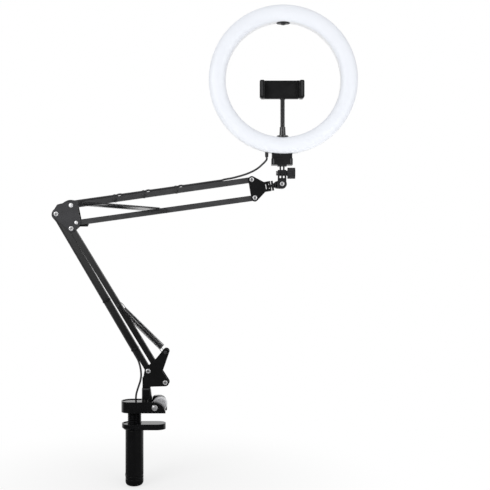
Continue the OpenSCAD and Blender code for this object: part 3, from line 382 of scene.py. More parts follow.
# Arm bars: square drawn tubes with rounded ends, powder coated in a fine grain. The lower pair is black,
# with painted light that greys it towards the elbow; the upper pair is grey all along.
# The lower coat's fade is painted light that greys the bars towards the elbow.
lower_coat = coated("lower_coat", (0.005, 0.005, 0.0053), rough=0.42, shine=0.24, edge=0.5,
                    fade=(130, 330, 0.036))
upper_coat = coated("upper_coat", (0.042, 0.042, 0.044), rough=0.42, shine=0.3, drift=0.15, edge=0.5)
finish(lower_coat, "lower_bar_left", "lower_bar_right")
finish(upper_coat, "upper_bar_top", "upper_bar_bottom")

# Spring posts: short pins through the bars and the base bracket's ear, and studs on the elbow, of blackened
# steel. Each has a flat disc on its end that keeps the hook on.
post_steel = plated("post_steel", (0.06, 0.06, 0.062), rough=0.4, metal=0.7)
finish(post_steel, "base_spring_pin", "lower_spring_post", "upper_spring_post", "elbow_spring_studs")


# Springs: tension springs of drawn wire, drawn out so that their turns stand apart, in pairs beside the
# bars. A long open hook at each end goes round its pin.
def unit(vectors):
    """The same directions, each with a length of 1."""
    return vectors / np.linalg.norm(vectors, axis=-1, keepdims=True)


def tube_grid(path, radius, reference, sides=10):
    """A round section carried along a path: each ring stands square to the heading, turned to a reference
    direction that the heading never meets. The tube closes on the path's own ends."""
    heading = unit(np.gradient(path, axis=0))
    side = unit(np.cross(heading, reference))
    over = np.cross(side, heading)
    turn = np.linspace(0, 2 * np.pi, sides, endpoint=False)[None, :, None]
    ring = np.cos(turn) * side[:, None] + np.sin(turn) * over[:, None]
    return capped(path[:, None] + radius * ring, path)


def capped(wall, path):
    """Closes a tube's rings on the first and last point of its path."""
    first, last = (np.repeat(p[None, None], wall.shape[1], 1) for p in (path[0], path[-1]))
    return np.concatenate([first, wall, last])


def wound_spring(pin, hook, y, turns, wire, coil=3.5, eye=3.0, side=4.2, past=25, lead=10.0, corner=1.1):
    """Wires of one spring. A hook leaves the coil by a small bend, runs along one side of its pin and turns
    round it on a quarter oval, and ends a little past the far side, so that the pin has room to shift in
    it. The coil is a helix about the line from pin to pin."""
    pin, hook = (np.array([end[0], y, end[1]]) for end in (pin, hook))
    span = np.linalg.norm(hook - pin)
    along = (hook - pin) / span
    across = np.cross(away, along)
    round_pin = np.radians(np.linspace(180 - past, 270, 28))[:, None]
    quarter = np.linspace(0, np.pi / 2, 10)[:, None]
    share = np.linspace(0, 1, 12)[1:, None]
    wires = []
    for at, sign in ((pin, 1), (hook, -1)):
        on, over, aside = sign * along, sign * across, sign * away
        width = np.where(np.sin(round_pin) > 0, eye, side)
        curl = at + eye * np.cos(round_pin) * on + width * np.sin(round_pin) * over
        back = at + (lead - corner) * share * on - (side + (coil - side) * share**2) * over
        bend = at + (lead - corner + corner * np.sin(quarter)) * on - coil * over
        bend = bend + corner * (1 - np.cos(quarter)) * aside
        wires += [tube_grid(np.concatenate([curl, back]), wire, away), tube_grid(bend, wire, across)]
    wind = np.linspace(0, 2 * np.pi * turns, int(turns * 20) + 1)[:, None]
    helix = pin + (lead + (span - 2 * lead) * wind / wind[-1]) * along
    helix = helix + coil * (np.sin(wind) * away - np.cos(wind) * across)
    return wires + [tube_grid(helix, wire, along)]


away = np.array([0, 1.0, 0])
spring_wire = plated("spring_wire", (0.055, 0.055, 0.058), rough=0.34, scratch=0.004)
ear, lower_hook = (33.628, 105.976), (-49.63, 186.92)
stud, upper_hook = (-119.574, 366.456), (33.37, 353.93)
for side, y in (("front", -14.05), ("rear", 14.05)):
    for level, start, stop, turns, keep, wire in (("lower", ear, lower_hook, 57, 0.9024, 0.5),
                                                  ("upper", stud, upper_hook, 76, 0.8435, 0.45)):
        spring = piece(level + "_coil_" + side, wound_spring(start, stop, y, turns, wire), spring_wire,
                       level + "_springs", [level + "_spring_" + side])
        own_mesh(spring)

# Elbow: two stamped plates with four plated pivot bolts, and a rubber stop under the bottom bar. The plates
# carry a satin powder coat.
# Between the plates the coat is painted near black: a painted shade in the gap.
elbow_coat = coated("elbow_coat", (0.035, 0.035, 0.038), rough=0.4, shine=0.3, grain=0.4, drift=0.15,
                    wear=0.08, edge=0.5, inner_shade=(6.8, 0.004))
stop_rubber = coated("stop_rubber", (0.004, 0.004, 0.004), rough=0.6, shine=0.15, relief=0.03)
finish(elbow_coat, "elbow_plate_front", "elbow_plate_rear")
finish(stop_rubber, "elbow_stop")
elbow_a, elbow_b = (-158.474, 347.356), (-131.986, 321.954)
elbow_c, elbow_d = (-132.174, 362.456), (-123.065, 332.093)
# The recesses of the elbow bolts are darkened by painted shade.
elbow_plating = plated("elbow_plating", (0.8, 0.8, 0.81), rough=0.36, metal=0.4, recess_shade=0.8)
elbow_screws = bolt(elbow_a, plate_face, kind="cross") + bolt(elbow_b, plate_face, kind="cross")
elbow_screws += bolt(elbow_c, plate_face) + bolt(elbow_d, plate_face, radius=3.2)
piece("elbow_screws", elbow_screws, elbow_plating, "elbow", ["elbow_bolts"])


# End bracket: two plates and a slotted block between them, black coated, held by the two socket-head end
# bolts. A threaded stud stands out of its nose and shows bright in the slots.
def climbing(degrees):
    """Directions along a line that climbs at an angle in the plane of the arm, and square to it."""
    a = math.radians(degrees)
    return np.array([math.cos(a), 0, math.sin(a)]), np.array([-math.sin(a), 0, math.cos(a)])


def on_head(origin, grid):
    """Lays a grid on the head's axis: its parts run ahead, away from the viewer, and above the axis."""
    return origin + grid[..., :1] * ahead + grid[..., 1:2] * away + grid[..., 2:] * above


end_coat = coated("end_coat", (0.006, 0.006, 0.0065), rough=0.4, shine=0.18, grain=0.4, wear=0.08, edge=0.5)
finish(end_coat, "fork_plate_front", "fork_plate_rear", "fork_nose")
end_a, end_b = (184.435, 407.516), (189.805, 375.767)
end_screws = bolt(end_a, plate_face, kind="hex") + bolt(end_b, plate_face, kind="hex")
piece("end_screws", end_screws, bolt_plating, "fork", ["fork_bolts"])
end_mid, head_angle = np.array([(end_a[0] + end_b[0]) / 2, 0, (end_a[1] + end_b[1]) / 2]), 9.4
ahead, above = climbing(head_angle)
wall, rise = threaded(radius=3.0, depth=0.35, pitch=1.0, low=24.4, high=38.9, columns=32)
upright = around_z((0, 0, 0), wall, rise)
head_stud = on_head(end_mid, upright[..., ::-1])
piece("stud_threaded", [head_stud], bolt_plating, "fork", ["head_stud"])


# Head joint: moulded black prongs that mesh at right angles, a notched disc that locks the stud, a plated
# bolt, and a ribbed knob on the second knuckle.
def outward_of(outline):
    """Directions square to a closed outline at each point, turned outwards by the sign of its area."""
    before, after = np.roll(outline, 1, 0), np.roll(outline, -1, 0)
    area = (outline[:, 0] * after[:, 1] - after[:, 0] * outline[:, 1]).sum()
    return np.sign(area) * unit((after - before)[:, ::-1] * [1, -1])


def slab(outline, low, high, edge, axes="xzy", steps=5):
    """A slab with both rims rounded by a quarter circle. Its faces close on the outline's middle. Axes say
    where the outline's two directions and the slab's depth point."""
    quarter = np.radians(np.linspace(0, 90, steps))
    drawn, sunk = edge * (1 - np.sin(quarter)), edge * (1 - np.cos(quarter))
    drawn, depth = np.concatenate([drawn, drawn[::-1]]), np.concatenate([low + sunk, high - sunk[::-1]])
    rings = outline - drawn[:, None, None] * outward_of(outline)
    middle = np.repeat(outline.mean(0)[None, None], len(outline), 1)
    rings = np.concatenate([middle, rings, middle])
    depth = np.concatenate([[low], depth, [high]])[:, None] + np.zeros(len(outline))
    grid = np.empty((*rings.shape[:2], 3))
    grid[..., ["xyz".index(axis) for axis in axes]] = np.concatenate([rings, depth[..., None]], -1)
    return grid


knuckle_moulding = coated("knuckle_moulding", (0.019, 0.019, 0.0205), rough=0.28, shine=0.4, grain=0.3,
                          relief=0.01, wear=0.06, edge=0.5)
knob_moulding = coated("knob_moulding", (0.026, 0.026, 0.028), rough=0.34, shine=0.4, grain=0.3,
                       relief=0.01, wear=0.06)
finish(knuckle_moulding, "lock_disc", "knuckle_link", "ring_foot")
finish(knob_moulding, "thumb_knob")
finish(pin_steel, "knob_screw")
knuckle, prong_r, prong_t = np.array([237.633, 0, 400.004]), 8.2, 3.0
knuckle_screw = bolt((knuckle[0], knuckle[2]), 2.5 * prong_t, radius=3.9, kind="hex")
piece("knuckle_screw", knuckle_screw, bolt_plating, "adapter", ["knuckle_bolt"])
neck_start, block_start, root, neck_end = -15.1, -12.2, -11.4, -9.0
half_h, bore_r, waist_r, neck_r = 5.7, 3.3, 4.2, 5.2
touch = math.atan2(half_h, root) - math.acos(prong_r / math.hypot(half_h, root))
tip = np.linspace(-touch, touch, 40)
round_end = prong_r * np.stack([np.cos(tip), np.sin(tip)], -1)
prong = np.concatenate([round_end, [(root, half_h), (root, -half_h)]])
block = np.array([(block_start, -half_h), (neck_end, -half_h), (neck_end, half_h), (block_start, half_h)])
neck = around_z((0, 0, 0), [bore_r, waist_r, waist_r, neck_r, neck_r, bore_r, bore_r],
                [neck_start, neck_start, neck_start + 1.5, neck_start + 1.9, root, root, neck_start], 40)
adapter = [slab(prong, y - prong_t / 2, y + prong_t / 2, edge=0.4) for y in (-2 * prong_t, 0, 2 * prong_t)]
adapter += [slab(block, -2.5 * prong_t, 2.5 * prong_t, edge=0.4), neck[..., ::-1]]
adapter = [on_head(knuckle, grid) for grid in adapter]
piece("adapter_prongs", adapter, knuckle_moulding, "adapter", ["stud_adapter"])


# Box under the ring: a moulded case for the ring's wires, with two raised pillars on its face. It hugs the
# rim, and the joint's upper prongs stand under its floor.
def rounded(corners, radii, steps=6):
    """An outline with each corner rounded by an arc that touches both of its sides."""
    corners, radii = np.asarray(corners, float), np.asarray(radii, float)[:, None]
    back, on = (unit(np.roll(corners, way, 0) - corners) for way in (1, -1))
    half = np.arccos(np.clip((back * on).sum(1, keepdims=True), -1, 1)) / 2
    centre = corners + unit(back + on) * radii / np.sin(half)
    first, last = (corners + v * radii / np.tan(half) - centre for v in (back, on))
    sweep, t = (np.pi - 2 * half)[:, None], np.linspace(0, 1, steps)[None, :, None]
    arcs = (np.sin((1 - t) * sweep) * first[:, None] + np.sin(t * sweep) * last[:, None]) / np.sin(sweep)
    return (centre[:, None] + arcs).reshape(-1, 2)


def plate(x0, x1, z0, z1, radius=0.5):
    """A rounded rectangle, as an outline."""
    return rounded([(x0, z0), (x1, z0), (x1, z1), (x0, z1)], [radius] * 4)


box_moulding = coated("box_moulding", (0.0105, 0.0105, 0.0115), rough=0.34, shine=0.3, grain=0.3,
                      relief=0.01, wear=0.06, edge=0.5)
# The pillars are moulded much lighter than the case: a painted highlight.
pillar_highlight_moulding = coated("pillar_highlight_moulding", (0.07, 0.07, 0.073), rough=0.3, shine=0.4, grain=0.3,
                         relief=0.01)
finish(box_moulding, "foot_box")
box_low, box_high = box_of("foot_box")
pillar_out, pillar_half, pillar_low, pillar_top = 15.2, 1.1, box_low[2] + 1.2, box_low[2] + 10.4
pillar_outlines = [plate(x - pillar_half, x + pillar_half, pillar_low, pillar_top)
                   for x in (box_low[0] + box_high[0]) / 2 + np.array([-pillar_out, pillar_out])]
pillar_front, pillar_rear = box_low[1] - 0.7, box_low[1] + 0.5
pillars = [slab(outline, pillar_front, pillar_rear, edge=0.35) for outline in pillar_outlines]
piece("box_pillars", pillars, pillar_highlight_moulding, "ring")


# Ring shell: a white moulded channel, rounded at the back, that holds the light board. Small screws round
# its back hold the board's ribs.
def around_y(centre, radius, depth, columns=256):
    """Rings round an axis that points away from the viewer, from a radius and a depth for each ring."""
    return around_z((centre[0], centre[2], centre[1]), radius, depth, columns)[..., [0, 2, 1]]


def arc(x, y, r, start, stop, count=10, tall=None):
    """Points of an arc in a profile, angles in degrees: of a circle, or of an oval that is so tall."""
    a = np.radians(np.linspace(start, stop, count))
    return np.stack([x + r * np.cos(a), y + (tall or r) * np.sin(a)], -1)


def hoop(profile, centre):
    """A closed profile of (radius, depth) carried round the ring's axis."""
    profile = np.concatenate([profile, profile[:1]])
    return around_y(centre, profile[:, 0], profile[:, 1])


shell_low, shell_high = box_of("ring_shell")
ring_axis = (shell_low + shell_high) / 2 * np.array([1, 0, 1])
ring_r, band = (shell_high[0] - shell_low[0]) / 2, 29.5
ring_in, mouth, rear, skin = ring_r - band, shell_low[1], shell_high[1], 2.0
shell_white = coated("shell_white", (0.8, 0.81, 0.83), rough=0.3, shine=0.5, grain=0.6, relief=0.004,
                     drift=0.01, wear=0.0, edge=0.5)
rim_soft, back_soft = 0.6, 4.5
shell_profile = np.concatenate([
    arc(ring_in + rim_soft, mouth + rim_soft, rim_soft, 270, 180, 5),
    arc(ring_in + back_soft, rear - back_soft, back_soft, 180, 90),
    arc(ring_r - back_soft, rear - back_soft, back_soft, 90, 0),
    arc(ring_r - rim_soft, mouth + rim_soft, rim_soft, 0, -90, 5),
    [(ring_r - skin, mouth), (ring_r - skin, rear - skin - 1), (ring_r - skin - 1, rear - skin),
     (ring_in + skin + 1, rear - skin), (ring_in + skin, rear - skin - 1), (ring_in + skin, mouth)]])
piece("shell_moulding", [hoop(shell_profile, ring_axis)], shell_white, "ring", ["ring_shell"])
back_screws = []
for angle in range(15, 375, 45):
    spot = ring_axis + (ring_in + band / 2) * climbing(angle)[0]
    back_screws.append(around_y(spot + rear * away, radius=[0, 1.1, 1.3, 2.2, 2.5, 2.5, 0],
                                depth=[-0.25, -0.25, 0.5, 0.5, 0.2, -0.6, -0.6], columns=24))
piece("shell_screws", back_screws, bolt_plating, "ring")

# Light board: a white printed board with a ring of square lamp chips, on ribs in the shell. The diffuser
# hides it.
board_white = coated("board_white", (0.75, 0.75, 0.7), rough=0.4, shine=0.5, grain=0.4, relief=0.01)
finish(board_white, "led_board")


# Diffuser: a domed cover of milky plastic, snapped into the mouth of the shell with a lip. Light from the
# board spreads in it; unlit, it is a bluish white.
def milky(name):
    """Milky plastic: a bluish white with a slow drift of tone, and a satin surface of very fine grain."""
    material, surface, net, place = shader(name)
    slow = net.noise(place, scale=18.0, detail=3.0)
    fine = net.noise(place, scale=2200.0, detail=2.0)
    bump = net.add("Bump", {"Strength": 0.5, "Distance": 0.003 * mm, "Height": fine})
    net.fill(surface, {"Base Color": net.tones(slow, (0.795, 0.818, 0.87), (0.815, 0.838, 0.885)),
                       "Roughness": net.ranged(slow, 0.0, 1.0, 0.3, 0.42), "Specular IOR Level": 0.3,
                       "Normal": bump.outputs["Normal"]})
    return material


diffuser_milk = milky("diffuser_milk")
middle, half_band, dome_h, side_wall, top_wall = ring_in + band / 2, band / 2, 9.0, 4.3, 2.2
lip, lip_w, lip_d, hair = 2.08, 2.2, 3, 0.05
dome = arc(middle, mouth - hair, half_band - hair, 180, 360, 61, tall=dome_h - hair)
hollow = arc(middle, mouth, half_band - side_wall, 352, 188, 40, tall=dome_h - top_wall)
lip_out, lip_in = middle + half_band - lip, middle - half_band + lip
outer_lip = [(lip_out, mouth), (lip_out, mouth + lip_d), (lip_out - lip_w, mouth + lip_d)]
inner_lip = [(lip_in + lip_w, mouth + lip_d), (lip_in, mouth + lip_d), (lip_in, mouth)]
diffuser = hoop(np.concatenate([dome, outer_lip, hollow, inner_lip]), ring_axis)
piece("diffuser_cover", [diffuser], diffuser_milk, "ring", ["ring_diffuser"])

# Socket, gland, stem and gooseneck: a threaded saddle in the top of the ring, the lead's strain relief, and
# a ferrule in the bottom that grips a ribbed rubber gooseneck.
neck_rubber = coated("neck_rubber", (0.022, 0.022, 0.023), rough=0.3, shine=0.5, grain=0.4, relief=0.015)
ferrule_paint = coated("ferrule_paint", (0.026, 0.026, 0.027), rough=0.18, shine=0.6, grain=0.4,
                       relief=0.01)
finish(knuckle_moulding, "ring_gland")
socket_low, socket_high = box_of("top_socket")
hole_x, hole_y, hole_r, boss_r = (socket_low + socket_high)[0] / 2, 1.0, 2.55, 4.4
saddle_w, saddle_d, saddle_y, saddle_floor = (socket_high[0] - socket_low[0]) / 2, 6.4, 2.6, 682.504
turn = np.linspace(0, 2 * np.pi, 64, endpoint=False)


def oval(width, depth, height, middle):
    """One ring of the saddle: an oval of half width and half depth, at a height and a middle in depth."""
    return np.stack([hole_x + width * np.cos(turn), middle + depth * np.sin(turn), height + 0 * turn], -1)


def seated(ring):
    """A ring of points lifted to the ring's inner wall, and a hair into it."""
    wall = np.sqrt(ring_in**2 - (ring[:, 0] - ring_axis[0]) ** 2) + ring_axis[2] + 0.4
    return np.stack([ring[:, 0], ring[:, 1], wall], -1)


seat = seated(oval(hole_r, hole_r, 0, hole_y))
saddle = np.stack([
    seat,
    seated(oval(saddle_w, saddle_d, 0, saddle_y)),
    oval(saddle_w, saddle_d, saddle_floor + 0.9, saddle_y),
    oval(saddle_w - 0.9, saddle_d - 0.7, saddle_floor, saddle_y),
    oval(boss_r, boss_r, saddle_floor, hole_y),
    oval(boss_r, boss_r, socket_low[2] + 0.3, hole_y),
    oval(boss_r - 0.3, boss_r - 0.3, socket_low[2], hole_y),
    oval(hole_r, hole_r, socket_low[2], hole_y),
    seat])
piece("socket_saddle", [saddle], knuckle_moulding, "ring", ["top_socket"])
finish(ferrule_paint, "stem_ferrule")
stem_low, stem_high = box_of("gooseneck")
stem_mid, stem_rings, groove_r, bead_h, bead_curve = (stem_low + stem_high) / 2, 24, 3.55, 0.42, 0.6
climb = np.linspace(0, 1, stem_rings * 10 + 1)
bead = groove_r + bead_h * abs(np.sin(np.pi * stem_rings * climb)) ** bead_curve
climb, bead = np.concatenate([[0], climb, [1]]), np.concatenate([[0], bead, [0]])
stem = around_z((stem_mid[0], stem_mid[1], stem_low[2]), bead, climb * (stem_high - stem_low)[2], 40)
piece("gooseneck_rings", [stem], neck_rubber, "ring", ["gooseneck"])

# Phone holder: a moulded back on the gooseneck's end with a fixed jaw, and a sprung jaw on two rails that
# slide in the back. Rubber strips face both jaws.
holder_moulding = coated("holder_moulding", (0.0085, 0.0085, 0.009), rough=0.36, grain=0.3, relief=0.012,
                         wear=0.05, edge=0.5)
grip_rubber = coated("grip_rubber", (0.03, 0.03, 0.031), rough=0.55, shine=0.3, grain=0.6, relief=0.03)
back_low, back_high = box_of("phone_back")
jaw_low, jaw_high = box_of("phone_jaw")
jaw_w, plate_front, front, behind = 8.5, -2.0, back_low[1], back_high[1]
left, right, floor_at, top_at = back_low[0], jaw_high[0], jaw_low[2], jaw_high[2]
back_floor, jaw_in, jaw_back = back_high[2] - (top_at - floor_at), right - jaw_w, plate_front + 1.5


def jaw(inner, outer):
    """A holder jaw between its inner and its outer side: an upright block whose top corners are round and
    whose lower outer corner is cut off."""
    cut, soft, edge = 3.0, 2.6, 0.8
    cut_at = outer + math.copysign(cut, inner - outer)
    corners = [(inner, floor_at), (cut_at, floor_at), (outer, floor_at + cut), (outer, top_at),
               (inner, top_at)]
    return slab(rounded(corners, [edge, edge, edge, soft, soft]), front, jaw_back, edge)


back_outline = plate(left + 3.2, jaw_in - 0.3, back_floor, back_high[2], radius=1.6)
back_plate = slab(back_outline, plate_front, behind, edge=0.7)
collar = around_z((stem_mid[0], stem_mid[1], back_low[2]), radius=[0, 4.4, 4.8, 4.8, 0],
                  height=[0, 0, 0.4, 2.4, 2.4], columns=40)
holder_back = [back_plate, jaw(left + jaw_w, left), collar]
piece("holder_back", holder_back, holder_moulding, "phone", ["phone_back"])
rail_len, rail_half, rail_front, rail_rear = 51.5, 3, 0.0, 4.0
rail_outlines = [plate(jaw_in - rail_len, jaw_in + 1, z - rail_half, z + rail_half, radius=0.4)
                 for z in floor_at + (top_at - floor_at) * np.array([0.28, 0.72])]
rails = [slab(outline, rail_front, rail_rear, edge=0.3) for outline in rail_outlines]
tongue_outline = plate(jaw_in - 4, jaw_in + 1, back_floor + 0.3, back_high[2] - 0.1, radius=0.4)
tongue = slab(tongue_outline, plate_front - 1.2, plate_front - 0.2, edge=0.3)
rear_outline = plate(jaw_in, right - 0.8, floor_at + 4, top_at - 0.8, radius=1.6)
jaw_rear = slab(rear_outline, jaw_back - 0.1, behind, edge=0.7)
holder_jaw = [jaw(jaw_in, right), jaw_rear, tongue] + rails
piece("holder_jaw", holder_jaw, holder_moulding, "phone_slider", ["phone_jaw"])
strip_w, strip_low, strip_top = 3.6, floor_at + 4, top_at - 2.4
for name, body, x0 in (("strip_left", "phone", left + 2.0), ("strip_right", "phone_slider", jaw_in + 2.6)):
    strip_outline = plate(x0, x0 + strip_w, strip_low, strip_top, radius=1.2)
    strip = slab(strip_outline, front - 0.5, front + 0.6, edge=0.3)
    piece(name, [strip], grip_rubber, body)

# Plug: a moulded grip with a tapered, ringed sleeve on the lead, over a folded steel shell. It is moulded
# on the lead's end and hangs behind the clamp's handle.
grip_low, grip_high = box_of("usb_grip")
plug_x, plug_y = (grip_low + grip_high)[:2] / 2
lead_r, sleeve_len, sleeve_wall, sleeve_taper, sleeve_rings, ring_depth = 1.75, 6.5, 0.35, 1.0, 4, 0.22
up_sleeve = np.linspace(0, 1, 25)
grooved = np.sin(2 * np.pi * sleeve_rings * up_sleeve) > 0.2
sleeve_r = lead_r + sleeve_wall + sleeve_taper * (1 - up_sleeve) - ring_depth * grooved
sleeve_r = np.concatenate([[0], sleeve_r, [0]])
tall = sleeve_len * (np.concatenate([[0], up_sleeve, [1]]) - 1)
grip_outline = plate(grip_low[0], grip_high[0], grip_low[1], grip_high[1], radius=2.0)
grip = slab(grip_outline, grip_low[2], grip_high[2] - sleeve_len + 0.5, edge=1.2, axes="xyz")
sleeve = around_z((plug_x, plug_y, grip_high[2]), sleeve_r, tall, 32)
plug_grip = piece("plug_grip", [grip, sleeve], knuckle_moulding, "clamp", ["usb_grip"])
finish(bolt_plating, "usb_shell")


# Lead: a limp round rubber lead from the ring, tied along the arm, down behind the clamp and folded into a
# hank. It is cut into one stretch for each joint that it crosses.
def travelled(line):
    """Distance along a line, at each of its points."""
    return np.concatenate([[0], np.cumsum(np.linalg.norm(np.diff(line, axis=0), axis=1))])


def smooth_line(points, step):
    """A smooth line through points: each span is a cubic whose end slopes are half the chord between the
    neighbours, laid out again at an even step."""
    p = np.asarray(points, float)
    p = np.concatenate([[2 * p[0] - p[1]], p, [2 * p[-1] - p[-2]]])
    t = np.linspace(0, 1, 24, endpoint=False)[None, :, None]
    a, b, c, d = p[:-3, None], p[1:-2, None], p[2:-1, None], p[3:, None]
    line = 0.5 * (2 * b + (c - a) * t + (2 * a - 5 * b + 4 * c - d) * t**2 + (3 * b - a - 3 * c + d) * t**3)
    line = np.concatenate([line.reshape(-1, 3), p[-2:-1]])
    run = travelled(line)
    even = np.linspace(0, run[-1], int(run[-1] / step) + 1)
    return np.stack([np.interp(even, run, line[:, k]) for k in range(3)], -1)


def beside(pivot, angle, along, off):
    """A point at a distance along a bar from its pivot, and a distance off its axis."""
    on, up = climbing(angle)
    return np.array([pivot[0], 0, pivot[1]]) + along * on + off * up


lift, lower_angle, upper_angle = 6.7, 120.4, 8.1
gland_low, gland_high = box_of("ring_gland")
gland_end = np.array([*(gland_low + gland_high)[:2] / 2, gland_low[2]])
head_run = [list(gland_end - np.array(d)) for d in (
    (0, 0, 0), (0, 0, 4), (2.4, -1, 7.6), (6.5, -3, 11.6), (13.2, -5.5, 17.5), (19.9, -7, 22),
    (26.8, -7, 25.6), (35.1, -6, 29.2), (46.2, -3.2, 33), (60.3, 2.5, 37.2), (73.8, 5, 39.8))]
upper_run = [beside(elbow_c, upper_angle, x, lift + bow) for x, bow in (
    (266.8, 0), (261.8, 0), (230, 0), (200.5, 0), (197, 0.7), (194, 0.9), (191, 0.7), (187.5, 0),
    (143, 0), (139.4, 0.7), (136.4, 0.9), (133.4, 0.7), (130, 0),
    (92, 0), (88.3, 0.7), (85.3, 0.9), (82.3, 0.7), (78.8, 0), (40, 0), (22, 0), (14, 0), (6, 0))]
elbow_run = [[elbow_c[0] + x, 0, elbow_c[1] + z] for x, z in ((-4, 8.2), (-12, 5))]
elbow_run += [[elbow_a[0] + x, 0, elbow_a[1] + z] for x, z in (
    (5, 13), (-1.6, 9), (-6.2, 4.8), (-7.8, -0.6), (-6.8, -4.6))]
lower_run = [beside(base_a, lower_angle, x, lift) for x in (
    307.9, 302.9, 280, 240, 200, 160, 120, 80, 50, 36, 31)]
drop_run = [[-15.2, 0.5, 89], [-12.6, 1.5, 80], [-11.2, 3, 71], [-11, 5, 62], [-12.6, 7.5, 53],
            [-15.6, 10.5, 44], [-18.8, 14, 35], [-21.2, 17.5, 27], [-22.2, 20.6, 19], [-22.2, 22, 10],
            [-21.6, 23, 0], [-20.6, 24, -10], [-19.8, 25.2, -22], [-19.5, 26, -36], [-19.5, 26, -44]]
hank_x, hank_y, hank_z, hank_drop, hank_bend = -30.0, 26.0, -88.0, 60.0, 10.5
hank_step, hank_waist, hank_loops, hank_over = 4.2, 3.0, 6, 9.8


def hank_run():
    """Loops of the hank: a run down that draws in at the tie, a half circle, a run up that climbs one step,
    and a half circle. The last half circle climbs further, to clear the plug."""
    s, i = np.linspace(0, 1, 12, endpoint=False)[:, None], np.arange(hank_loops)[None, :]
    top, draw = hank_z + hank_drop / 2, hank_bend - hank_waist * np.sin(np.pi * s)
    swing, dip = hank_bend * np.cos(np.pi * s), hank_bend * np.sin(np.pi * s)
    level, more = hank_y + hank_step * i, np.where(i == hank_loops - 1, hank_over, 0.0)
    runs = [(hank_x + draw, level, top - hank_drop * s), (hank_x + swing, level, top - hank_drop - dip),
            (hank_x - draw, level + hank_step * s, top - hank_drop * (1 - s)),
            (hank_x - swing, level + hank_step + more * s, top + dip)]
    line = np.concatenate([np.stack([part + 0 * i + 0 * s for part in run], -1) for run in runs])
    end = [hank_x + hank_bend, hank_y + hank_step * hank_loops + hank_over, top]
    return line.transpose(1, 0, 2).reshape(-1, 3).tolist() + [end, [end[0], end[1], end[2] - 8]]


lead_rubber = coated("lead_rubber", (0.042, 0.042, 0.044), rough=0.4, shine=0.4, grain=0.6, relief=0.012,
                     drift=0.15, wear=0.0)
lead_line = smooth_line(head_run + upper_run + elbow_run + lower_run + drop_run + hank_run(), step=1.0)
lead_rings = tube_grid(lead_line, lead_r, away, sides=14)[1:-1]


def nearest(point):
    """Place along the lead, in steps, that lies nearest to a point."""
    return int(np.argmin(np.linalg.norm(lead_line - np.asarray(point), axis=1)))


past_link, past_knuckle, past_stud = 31, 62, 93
past_fork, mid_upper, near_elbow = (nearest(upper_run[k]) for k in (3, 8, -3))
over_elbow = nearest([elbow_c[0] - 14, 0, elbow_c[1] + 4.4])
below_elbow, mid_lower, near_base = (nearest(lower_run[k]) for k in (1, 5, -2))
at_base, at_clamp, lead_end = nearest(drop_run[3]), nearest(drop_run[7]), len(lead_line) - 1
stretches = [("lead_gland", "ring", "link", 0, past_link, 1, past_link - 1, ["cord_head"]),
             ("lead_loop", "link", "adapter", past_link, past_knuckle, past_link + 1, past_knuckle - 1, []),
             ("lead_rise", "adapter", "fork", past_knuckle, past_stud, past_knuckle + 1, past_stud - 1, []),
             ("lead_upper", "fork", "upper_top", past_stud, mid_upper, past_stud + 1, past_fork,
              ["cord_upper"]),
             ("lead_turn", "upper_top", "elbow", mid_upper, over_elbow, near_elbow, over_elbow - 1, []),
             ("lead_elbow", "elbow", "lower_left", over_elbow, mid_lower, over_elbow + 1, below_elbow,
              ["cord_elbow", "cord_lower"]),
             ("lead_lower", "lower_left", "base", mid_lower, at_base, near_base, at_base - 1, []),
             ("lead_drop", "base", "clamp", at_base, lead_end, at_base + 1, at_clamp,
              ["cord_drop", "cord_hank"])]
for name, near_body, far_body, first, last, start, stop, solids in stretches:
    line, plugged = lead_line[first:last + 1], name == "lead_drop"
    tube = capped(lead_rings[first:last + 1], line)
    made = piece(name, [tube], lead_rubber, nodes=solids)
    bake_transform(made)


# Ties: nylon straps with a locking head, drawn round a bar and the lead on it, and a wider strap round the
# hank. Their tails are cut off at the head.
def strap(outline, width, thick, place):
    """A band of rounded section round the outside of a closed outline. Place turns (outline x, outline y,
    across) into a point."""
    half = width / 2
    section = rounded([(-half, 0), (half, 0), (half, thick), (-half, thick)], [0.3 * thick] * 4, 4)
    rings = outline[:, None] + section[None, :, 1:] * outward_of(outline)[:, None]
    across = np.broadcast_to(section[None, :, 0], rings.shape[:2])
    grid = place(rings[..., 0], rings[..., 1], across)
    return np.concatenate([grid, grid[:1]])


def tie(heart, along, up):
    """Strap and locking head of a tie about a point of a bar, which runs along and faces up to the lead."""
    def on_bar(y, rise, x):
        return heart + y[..., None] * away + rise[..., None] * up + x[..., None] * along

    outline = plate(-bar_half - lock_out, -bar_half + 0.1, -lock_half_h, lock_half_h, radius=0.6)
    head = slab(outline, -lock_half_w, lock_half_w, edge=0.5, axes="xyz")
    return [strap(tie_loop, tie_w, tie_t, on_bar), on_bar(*np.moveaxis(head, -1, 0))]


